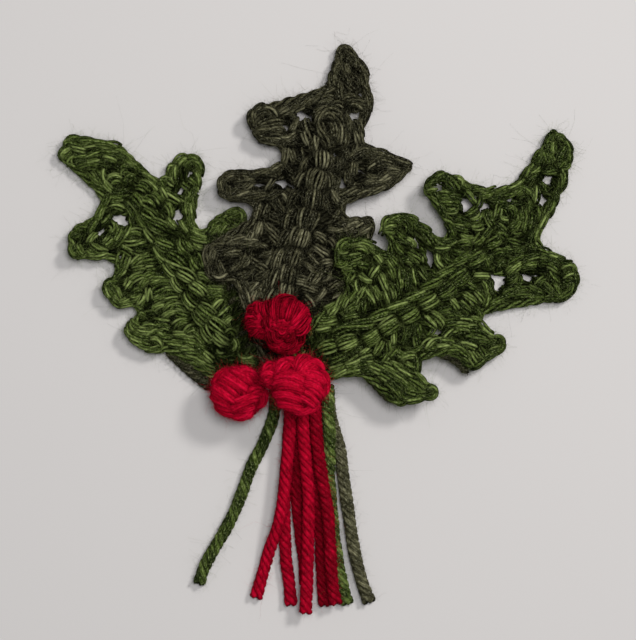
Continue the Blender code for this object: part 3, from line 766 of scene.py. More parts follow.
def back_strands(ground, outline, spine, holes):
    """The strands below and behind the stitches, which are worked out from the rib."""
    work = YarnWork()
    line = evenly(spine, step=0.6)
    along_line = unit(np.gradient(line, axis=0))
    low, high = outline.min(0), outline.max(0)
    # the upper strands lie just under the stitches, and their low shade is painted shade
    upper = {"lift": -0.15, "bulge": 1, "gap_x": 2.1, "gap_y": 3.4, "step": 0.75, "sides": 5,
             "shade": 0.28}
    lower = {"lift": -1.15, "bulge": -0.6, "gap_x": 2.2, "gap_y": 3.8, "step": 1.0, "sides": 4,
             "shade": 1.0}
    for layer in (upper, lower):
        gap_x, gap_y = layer["gap_x"], layer["gap_y"]
        for x in np.arange(low[0], high[0], gap_x):
            for y in np.arange(low[1], high[1], gap_y):
                spot = np.array([x, y]) + chance.normal(0, 0.35, 2)
                spot[1] += (round((x - low[0]) / gap_x) % 2) * gap_y / 2
                if depth_inside(spot[None], outline)[0] < EDGE_IN:
                    continue
                near = np.linalg.norm(line - spot, axis=1).argmin()
                way = unit(spot - line[near] + along_line[near] * 2.0)
                if np.linalg.norm(spot - line[near]) < 2.5:
                    way = along_line[near]
                turn = chance.normal(0, 0.3)
                way = np.array([way[0] * math.cos(turn) - way[1] * math.sin(turn),
                                way[0] * math.sin(turn) + way[1] * math.cos(turn)])
                run = spot + way * np.linspace(-1, 1, 9)[:, None] * STRAND_HALF
                run = clear_part(run, outline, holes)
                if len(run) < 4:
                    continue
                s = np.linspace(-1, 1, len(run))
                height = layer["lift"] + (0.3 - 0.8 * s**4) * layer["bulge"]
                points, up = ground.place(np.column_stack([run, height]))
                strand = evenly(np.column_stack([points, up]), step=layer["step"])
                work.lay(strand[:, :3], strand[:, 3:], thick=2.5, flat=0.75, lead=10.0,
                         tint=chance.uniform(0.2, 0.5), sides=layer["sides"],
                         shade=layer["shade"])
    return work


def edge_yarn(ground, outline, tint):
    """Two rows of plied yarn that edge the leaf, the lower one a little farther in."""
    edge = YarnWork()
    ring = evenly(np.vstack([outline, outline[:1]]), step=RIM_STEP)
    ahead = unit(np.gradient(ring, axis=0))
    inward = np.stack([-ahead[:, 1], ahead[:, 0]], 1)
    wave = np.sin(np.arange(len(ring)) * RIM_STEP / CHAIN_STITCH * 2 * math.pi)[:, None]
    soft = np.ones(5) / 5
    for depth, lift, thick in ((1.35, 0.0, 2.2), (1.8, -1.05, 2.4)):
        run = ring + inward * depth
        run = run + inward * 0.3 * wave
        run = np.stack([np.convolve(np.pad(run[:, k], 2, mode="wrap"), soft, mode="valid")
                        for k in (0, 1)], 1)
        points, up = ground.place(np.column_stack([run, np.full(len(run), lift)]))
        edge.lay(points, up, thick=thick, flat=0.9, lead=13.0, taper=0, tint=tint, shade=0.9,
                 groove_shade=0.85, full=0.98)
    return edge


def stitch_leaf(name, spine, holes, rib, stitches, tones, lean=0.0):
    """A whole leaf. tones is the range of its tints, and lean how far its rib stitches tilt."""
    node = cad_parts[name]
    ground = LeafGround(node)
    outline = outline_of(node)
    slot_name, yarn = colour_of("olive" if name == "leaf_middle" else "green")
    base = np.array(spine[0])

    def tones_at(stitch):
        """The tints of a stitch, which get a little deeper towards the tip."""
        deeper = TIP_DEEPER * np.hypot(*(np.array(stitch[2:4]) - base)) / LEAF_LENGTH
        return tones[0] - deeper, tones[1] - deeper

    def finish(work, part):
        stand_in(work.make(name + part, yarn), name)

    face = YarnWork()
    for long_stitch in stitches:
        for stitch in shorter(long_stitch):
            stitch = tucked_in(stitch, outline)
            bundle(face, ground, stitch, lift=0.70 + chance.normal(0, 0.15), rise=1.0, holes=holes,
                   tones=tones_at(stitch))
    for x0, y0, xm, ym, x1, y1, width in rib:
        aside = unit(np.array([y0 - y1, x1 - x0])) * width * lean
        stitch = (x0 + aside[0], y0 + aside[1], xm, ym, x1 - aside[0], y1 - aside[1], width)
        bundle(face, ground, stitch, lift=1.5, rise=1.8, tones=tones_at(stitch),
               slant=SLANT - 1.6 * lean)
    finish(face, "_stitches")
    finish(back_strands(ground, outline, spine, holes), "_back")
    edge = edge_yarn(ground, outline, 0.7 * tones[0] + 0.14)
    finish(edge, "_edge")

    hair = YarnWork()
    hair.fuzz(face, count=4200, length=0.7, thick=0.028, lift=0.1)
    hair.fuzz(face, count=2000, length=0.9, thick=0.016, lift=0.6)
    finish(hair, "_fuzz")
    halo = YarnWork()
    halo.fuzz(edge, count=4900, length=1.3, thick=0.015, lift=0.7)
    halo.fuzz(edge, count=260, length=3.4, thick=0.012, lift=0.7)
    finish(halo, "_halo")


def dark_rim_yarn(name, runs, low):
    """A dark rim of yarn past a leaf's edge, made dark with painted shade: behind the left leaf it is
    brown yarn caught in and lying in shade, and under the right leaf it stands in for the shadow by its
    lower edge.
    """
    ground = LeafGround(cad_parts[name])
    work = YarnWork()
    for run in runs:
        points = evenly(run, step=0.6)
        points, up = ground.place(np.column_stack([points, np.full(len(points), low)]))
        points[:, 2] = np.maximum(points[:, 2], 1.1)
        # painted shade: a low tint and the shade setting make the rim yarn dark
        work.lay(points, up, thick=2.2, tint=0.12, shade=0.8, groove_shade=0.6, mixed=0.15)
    hair = YarnWork()
    hair.fuzz(work, count=350 * len(runs), length=0.9, thick=0.02, lift=0.6)
    stand_in(work.make(name + "_dark_rim", olive_yarn), name)
    stand_in(hair.make(name + "_tucked_fuzz", olive_yarn), name)


stitch_leaf("leaf_left", LEFT_SPINE, LEFT_HOLES, LEFT_RIB, LEFT_STITCHES, (0.50, 0.88))
# behind the left leaf the dark rim is brown yarn caught in, lying in shade
dark_rim_yarn("leaf_left", [[(-38.0, -29.8), (-35.3, -32.3), (-32.7, -34.9), (-29.9, -37.2), (-27, -39.6)],
                          [(-36.2, -30.0), (-33.0, -32.8), (-30.0, -35.6), (-27.0, -38.2)],
                          [(-23.2, -11.5), (-21.8, -16.0), (-20.4, -21.0), (-18.9, -26.0), (-17.2, -30.5)],
                          [(-20.6, -22.5), (-19.0, -24.6), (-17.6, -27.0)]], -1.2)

# ---------------------------------------------------------------------------------------------
# The middle leaf, in dark olive brown heather yarn. It lies over the left leaf and is worked in
# the same way, with a fatter raised chain that ends in a round stitch below the tip.
MIDDLE_SPINE = [(-8.5, -33), (-8.5, -23), (-7.5, -13), (-6, -7), (-4, 0), (-2, 8), (-0.5, 18),
                (1.5, 23), (4.5, 28), (6.5, 36), (6.5, 44.5)]
MIDDLE_HOLES = [(-4.0, 28.6, 0.9), (-8.0, 26.0, 0.6), (8.4, 28.8, 0.45), (-14.6, 11.3, 0.35),
                (-9.6, 12.0, 0.6), (10.6, 14.6, 0.3), (5.8, 11.4, 0.6)]
MIDDLE_RIB = [
    (0.6, 15.2, 1.0, 17.2, 1.5, 19.4, 4.4), (-3.7, 13.8, -3.2, 16.0, -2.4, 18.2, 1.8),
    (-1.3, 9.9, -0.7, 12.4, 0.2, 14.8, 4.6), (-5.0, 10.6, -4.4, 12.4, -3.4, 14.4, 1.6),
    (-2.1, 5.2, -1.6, 7.8, -0.9, 10.2, 4.9), (-6.9, 5.0, -5.9, 7.6, -4.5, 10.0, 2.4),
    (-3.6, 0.0, -2.9, 2.6, -2.0, 5.2, 4.9), (-8.3, 0.0, -7.2, 2.6, -5.7, 5.0, 2.6),
    (-5.2, -4.1, -4.5, -1.8, -3.7, 0.4, 4.8), (-9.6, -4.6, -8.7, -2.2, -7.3, -0.2, 2.4),
    (-6.8, -9.0, -6.2, -6.8, -5.5, -4.4, 4.6), (-10.9, -9.6, -10.1, -7.0, -8.7, -4.6, 2.6),
    (-8.2, -13.2, -7.6, -11.0, -6.9, -8.8, 4.8), (-11.6, -14.4, -11.0, -12.0, -9.9, -9.6, 2.4),
    (-8.6, -17.4, -8.2, -15.2, -7.7, -13.2, 4.2), (-12.2, -19.0, -11.6, -16.6, -10.8, -14.4, 2.4),
]
MIDDLE_STITCHES = [
    # the tip
    (4.9, 43.4, 5.6, 45.7, 7.9, 45.6, 1.8), (7.2, 45.8, 10.0, 43.4, 11.2, 39.6, 2.4),
    (9.2, 44.0, 9.4, 42.3, 9.2, 40.6, 1.8), (3.2, 36.8, 3.6, 39.4, 5.3, 41.6, 2.6),
    (7.2, 41.8, 7.2, 39.2, 8.0, 36.6, 2.6), (9.0, 38.9, 9.8, 37.0, 10.6, 35.2, 1.8),
    (5.2, 37.4, 5.2, 35.0, 5.6, 32.6, 2.6), (10.9, 39.4, 11.2, 37.4, 11.3, 35.6, 1.6),
    (7.4, 36.8, 8.2, 35.4, 9.2, 34.6, 1.6), (5.0, 43.6, 5.0, 42.0, 5.8, 41.0, 1.8),
    (6.6, 44.0, 7.4, 43.0, 8.2, 41.4, 1.8), (-10.6, 29.8, -5.0, 31.6, 1.2, 34.8, 1.8),
    (-9.4, 29.0, -4.6, 30.8, 0.2, 33.2, 1.6), (0.4, 34.8, 2.4, 35.2, 4.2, 36.0, 1.8),
    (0.4, 32.6, 2.0, 33.4, 3.8, 33.2, 2.0), (0.0, 31.2, 1.6, 31.6, 3.4, 31.2, 1.8),
    (6.2, 33.0, 9.2, 33.0, 12.0, 31.4, 2.4), (7.6, 31.4, 9.6, 31.4, 11.4, 29.8, 1.8),
    (12.0, 34.8, 12.9, 33.0, 12.6, 30.6, 2.0), (12.8, 30.8, 12.6, 28.8, 10.8, 27.0, 2.2),
    (3.4, 31.2, 4.8, 31.6, 6.4, 30.8, 1.6),
    # the round stitch at the top of the rib
    (-0.8, 28.6, 2.2, 30.2, 5.4, 28.4, 2.0), (-0.6, 27.0, 1.4, 28.8, 3.6, 27.6, 1.8),
    (4.6, 29.2, 5.8, 26.0, 4.9, 21.8, 2.4), (-2.6, 27.4, -2.9, 24.4, -2.7, 21.4, 2.2),
    (0.2, 27.4, 0.4, 25.2, 1.6, 23.2, 2.0), (2.8, 27.2, 3.4, 25.0, 3.0, 22.8, 2.0),
    (1.0, 23.6, 1.9, 22.0, 2.1, 20.2, 2.4), (6.4, 28.8, 7.6, 27.0, 8.1, 24.4, 1.8),
    (9.5, 27.4, 9.8, 24.8, 9.5, 22.0, 2.2), (10.4, 27.2, 10.5, 24.4, 10.5, 21.6, 1.6),
    (6.8, 24.6, 6.8, 22.8, 6.4, 21.0, 2.0), (-0.8, 23.4, -1.0, 21.6, -0.8, 19.8, 1.8),
    # the upper left point
    (-17.3, 26.6, -16.6, 29.6, -13.8, 30.8, 2.4), (-13.9, 30.8, -12.0, 30.2, -10.8, 28.2, 2.2),
    (-16.2, 26.2, -13.2, 27.3, -9.0, 26.8, 2.4), (-15.4, 24.9, -12.0, 25.2, -8.9, 24.8, 1.8),
    (-15.4, 28.6, -13.8, 29.4, -12.2, 28.6, 1.8), (-16.2, 24.6, -13.8, 22.9, -10.4, 21.4, 1.8),
    (-9.5, 23.6, -7.4, 23.0, -5.0, 24.2, 2.0), (-7.2, 24.6, -5.6, 26.2, -5.3, 28.2, 1.8),
    (-12.4, 23.4, -10.6, 23.4, -9.0, 23.0, 1.6), (-9.2, 22.0, -7.0, 21.8, -5.0, 22.8, 1.8),
    (-9.1, 16.6, -8.8, 18.6, -8.1, 20.8, 2.2), (-6.8, 20.4, -6.2, 18.6, -5.8, 16.8, 1.8),
    (-4.6, 20.6, -4.2, 18.8, -3.8, 17.2, 1.6), (-7.8, 15.8, -6.2, 13.4, -4.8, 11.4, 1.8),
    (-8.0, 29.4, -6.8, 28.6, -6.2, 27.2, 1.4),
    # the middle left point
    (-24.4, 13.0, -21.6, 14.6, -17.2, 14.0, 2.0), (-17.6, 14.0, -13.2, 14.6, -9.6, 16.2, 2.0),
    (-21.6, 13.4, -24.4, 12.6, -24.6, 10.0, 2.4), (-24.6, 9.8, -23.8, 8.4, -22.0, 8.0, 1.8),
    (-22.4, 11.8, -22.4, 10.0, -21.8, 8.4, 1.6), (-21.2, 13.0, -18.6, 12.8, -16.0, 12.6, 1.8),
    (-21.6, 9.6, -19.0, 10.8, -16.4, 11.6, 2.0), (-20.6, 9.2, -17.4, 9.4, -13.0, 9.4, 2.0),
    (-16.2, 8.2, -13.0, 8.4, -10.0, 9.4, 1.8), (-21.2, 8.0, -18.0, 7.5, -15.8, 6.4, 1.6),
    (-12.7, 9.8, -12.0, 11.4, -11.3, 13.0, 1.6), (-13.6, 13.6, -12.0, 13.8, -10.4, 13.2, 1.6),
    (-16.0, 2.8, -15.4, 4.8, -14.6, 6.8, 2.6), (-13.6, 3.4, -12.9, 5.0, -12.0, 6.6, 1.8),
    (-12.2, 4.4, -10.4, 3.2, -8.4, 1.8, 2.2), (-9.2, 9.4, -7.8, 8.2, -6.8, 6.4, 1.8),
    (-10.8, 7.8, -9.4, 5.8, -7.9, 4.0, 2.0), (-12.0, 7.8, -10.8, 6.2, -10.0, 4.8, 1.4),
    # the lower left point
    (-17.8, -2.2, -15.8, -0.6, -14.2, 1.6, 2.6), (-13.0, 1.8, -11.4, -0.6, -10.0, -3.4, 2.2),
    (-11.2, 0.8, -10.2, -0.6, -9.4, -2.2, 1.6), (-23.6, -2.6, -20.0, -1.8, -15.4, -2.6, 2.0),
    (-22.0, -3.4, -18.0, -3.4, -12.8, -4.4, 1.8), (-28.0, -8.2, -27.2, -4.2, -23.4, -3.6, 2.2),
    (-26.8, -7.0, -25.6, -5.0, -22.8, -5.2, 1.8), (-28.2, -8.4, -28.0, -10.8, -26.2, -12.0, 2.0),
    (-26.8, -11.6, -24.6, -12.0, -22.8, -10.4, 2.0), (-25.4, -7.2, -24.4, -9.0, -23.8, -11.2, 1.8),
    (-23.6, -6.2, -22.0, -5.2, -19.0, -5.2, 2.0), (-21.8, -9.8, -19.8, -8.2, -18.0, -6.2, 2.0),
    (-19.2, -9.2, -17.8, -7.6, -16.4, -6.0, 1.8), (-16.6, -6.0, -14.8, -8.0, -13.6, -10.2, 2.2),
    (-20.2, -11.4, -17.6, -11.0, -15.2, -9.6, 2.0), (-15.6, -12.2, -14.0, -11.2, -12.4, -9.6, 2.0),
    (-14.2, -5.8, -12.4, -6.0, -10.8, -4.8, 1.8), (-13.2, -8.8, -12.2, -7.4, -11.2, -6.0, 1.8),
    (-19.9, -12.4, -19.2, -15.6, -19.0, -19.4, 2.2), (-18.4, -12.6, -17.6, -15.0, -17.4, -18.2, 1.8),
    (-17.2, -15.2, -15.8, -13.8, -14.0, -12.4, 1.8), (-16.8, -17.0, -15.0, -15.2, -13.4, -13.0, 2.0),
    (-14.2, -16.4, -13.0, -14.0, -12.2, -11.4, 2.0), (-18.6, -20.0, -18.0, -22.4, -17.6, -24.6, 2.2),
    # the right side, with its two points
    (10.6, 20.8, 15.0, 19.5, 19.0, 17.9, 2.0), (18.4, 18.3, 21.0, 17.2, 22.8, 16.4, 1.8),
    (20.4, 15.4, 22.0, 15.2, 22.6, 16.6, 1.8), (22.0, 15.2, 19.4, 12.6, 16.4, 11.2, 2.0),
    (17.0, 11.4, 13.2, 10.2, 9.4, 9.2, 2.0), (7.8, 18.4, 11.0, 19.2, 14.2, 18.0, 2.6),
    (12.8, 17.0, 15.6, 17.8, 18.6, 16.6, 2.2), (12.2, 15.6, 15.6, 16.2, 20.2, 14.8, 2.0),
    (12.2, 13.8, 14.6, 12.8, 17.6, 13.4, 2.0), (15.0, 13.8, 17.0, 14.8, 19.6, 14.0, 1.6),
    (11.6, 11.8, 14.0, 12.0, 17.0, 11.8, 1.8), (6.9, 12.0, 7.9, 14.2, 9.2, 16.6, 2.8),
    (3.2, 9.4, 4.2, 11.2, 4.6, 13.4, 1.8), (4.4, 8.8, 7.0, 9.4, 9.6, 9.8, 2.2),
    (3.2, 10.4, 3.8, 8.4, 5.0, 6.6, 2.0), (4.0, 6.4, 5.4, 7.0, 6.8, 8.2, 1.8),
    (3.2, 2.4, 4.4, 3.8, 5.4, 5.2, 2.0), (5.6, 18.6, 5.0, 16.6, 4.6, 14.4, 2.2),
    (7.0, 20.8, 6.6, 19.0, 6.4, 17.0, 2.0), (9.4, 21.6, 9.0, 20.2, 8.8, 18.8, 1.6),
    (1.4, 7.8, 1.8, 5.8, 2.6, 4.0, 1.8), (2.4, 14.6, 2.8, 12.4, 2.8, 10.4, 1.8),
    (7.2, 2.6, 10.0, 3.2, 12.6, 2.8, 1.8), (11.2, 2.0, 11.8, 3.4, 13.2, 3.0, 1.6),
    (4.6, 1.4, 7.0, 1.6, 9.6, 2.4, 2.2), (6.4, 0.2, 9.0, 0.8, 11.4, 1.8, 2.0),
    (6.8, -1.0, 10.0, -0.4, 12.8, 0.8, 1.8), (1.8, 0.0, 4.0, 0.0, 6.2, 0.4, 1.8),
    (-1.5, -0.8, 0.2, -1.6, 1.6, -3.0, 2.0), (2.2, -1.8, 3.0, -3.0, 3.4, -4.4, 1.8),
    (-1.2, -3.4, 0.5, -5.0, 1.8, -6.8, 2.2), (-3.0, -5.0, -1.4, -7.0, 0.0, -8.8, 2.0),
    (-3.8, -7.6, -2.4, -9.0, -1.0, -10.2, 1.8), (-2.2, -12.6, 0.0, -11.2, 2.4, -10.2, 3.4),
    (-5.2, -11.6, -3.5, -13.0, -1.2, -14.8, 2.6), (2.6, -15.0, 4.4, -13.6, 6.6, -12.6, 3.0),
    (-1.8, -17.2, 0.0, -15.8, 1.6, -14.4, 2.4), (-3.8, -15.4, -2.4, -17.4, -1.2, -19.0, 2.0),
    (3.0, -17.2, 4.8, -16.2, 6.4, -15.6, 1.8), (0.6, -8.6, 2.2, -8.0, 3.8, -8.8, 1.8),
]
stitch_leaf("leaf_middle", MIDDLE_SPINE, MIDDLE_HOLES, MIDDLE_RIB, MIDDLE_STITCHES, (0.32, 0.78),
            lean=0.04)

# ---------------------------------------------------------------------------------------------
# The right leaf, in the same green as the left one. It lies on the middle leaf. Its rib is
# fattest towards the base, and its lower side ends in two long curled points.
RIGHT_SPINE = [(-3, -31), (4, -26.5), (10, -24), (17, -22), (25, -18), (31, -13.5), (37.5, -8),
               (43, 0), (47, 6), (53, 14), (59, 23)]
RIGHT_HOLES = [(30.4, 11.0, 0.3), (36.5, 6.7, 0.8), (38.7, 8.3, 0.5), (41.5, 6.2, 0.6),
               (47.3, 7.6, 0.3), (57.4, 12.6, 0.35), (56.3, 8.4, 0.2), (56.3, 7.2, 0.2),
               (15.8, -3.0, 0.7), (17.0, -4.2, 0.7), (24.6, -3.6, 0.3), (27.8, -6.4, 0.5),
               (27.2, -7.9, 0.4), (45.2, -11.4, 0.55), (45.0, -12.8, 0.5), (52.0, -11.5, 0.55),
               (29.3, -25.0, 0.2), (40.4, 2.8, 0.4)]
RIGHT_RIB = [
    (41.8, -4.2, 43.2, -2.8, 44.6, -1.2, 2.8), (37.0, -9.0, 38.6, -6.9, 39.9, -4.7, 4.4),
    (33.2, -13.6, 34.4, -11.5, 35.8, -9.3, 4.2), (29.8, -16.8, 31.1, -15.0, 32.5, -12.9, 4.0),
    (25.4, -19.4, 26.7, -17.6, 28.2, -15.6, 4.2), (20.8, -22.6, 22.0, -20.8, 23.4, -18.9, 4.0),
    (15.8, -25.6, 17.1, -23.7, 18.6, -21.7, 4.2), (11.2, -28.0, 12.4, -26.4, 14.0, -24.7, 3.8),
    (5.4, -29.6, 6.8, -27.8, 8.6, -26.2, 3.8), (0.6, -30.4, 2.2, -28.8, 4.0, -27.6, 3.0),
    (33.2, -8.8, 35.2, -7.1, 37.4, -5.2, 2.6), (29.0, -12.2, 31.0, -10.5, 33.6, -8.7, 2.6),
    (25.2, -14.8, 27.5, -13.3, 30.2, -11.6, 2.6), (21.2, -17.8, 23.6, -16.3, 26.4, -14.8, 2.6),
    (16.8, -20.4, 19.2, -18.9, 22.0, -17.5, 2.6), (12.2, -22.8, 14.6, -21.3, 17.4, -19.9, 2.6),
    (7.6, -24.8, 10.2, -23.5, 13.2, -22.1, 2.6), (3.6, -26.2, 6.0, -24.8, 8.8, -23.6, 2.2),
]
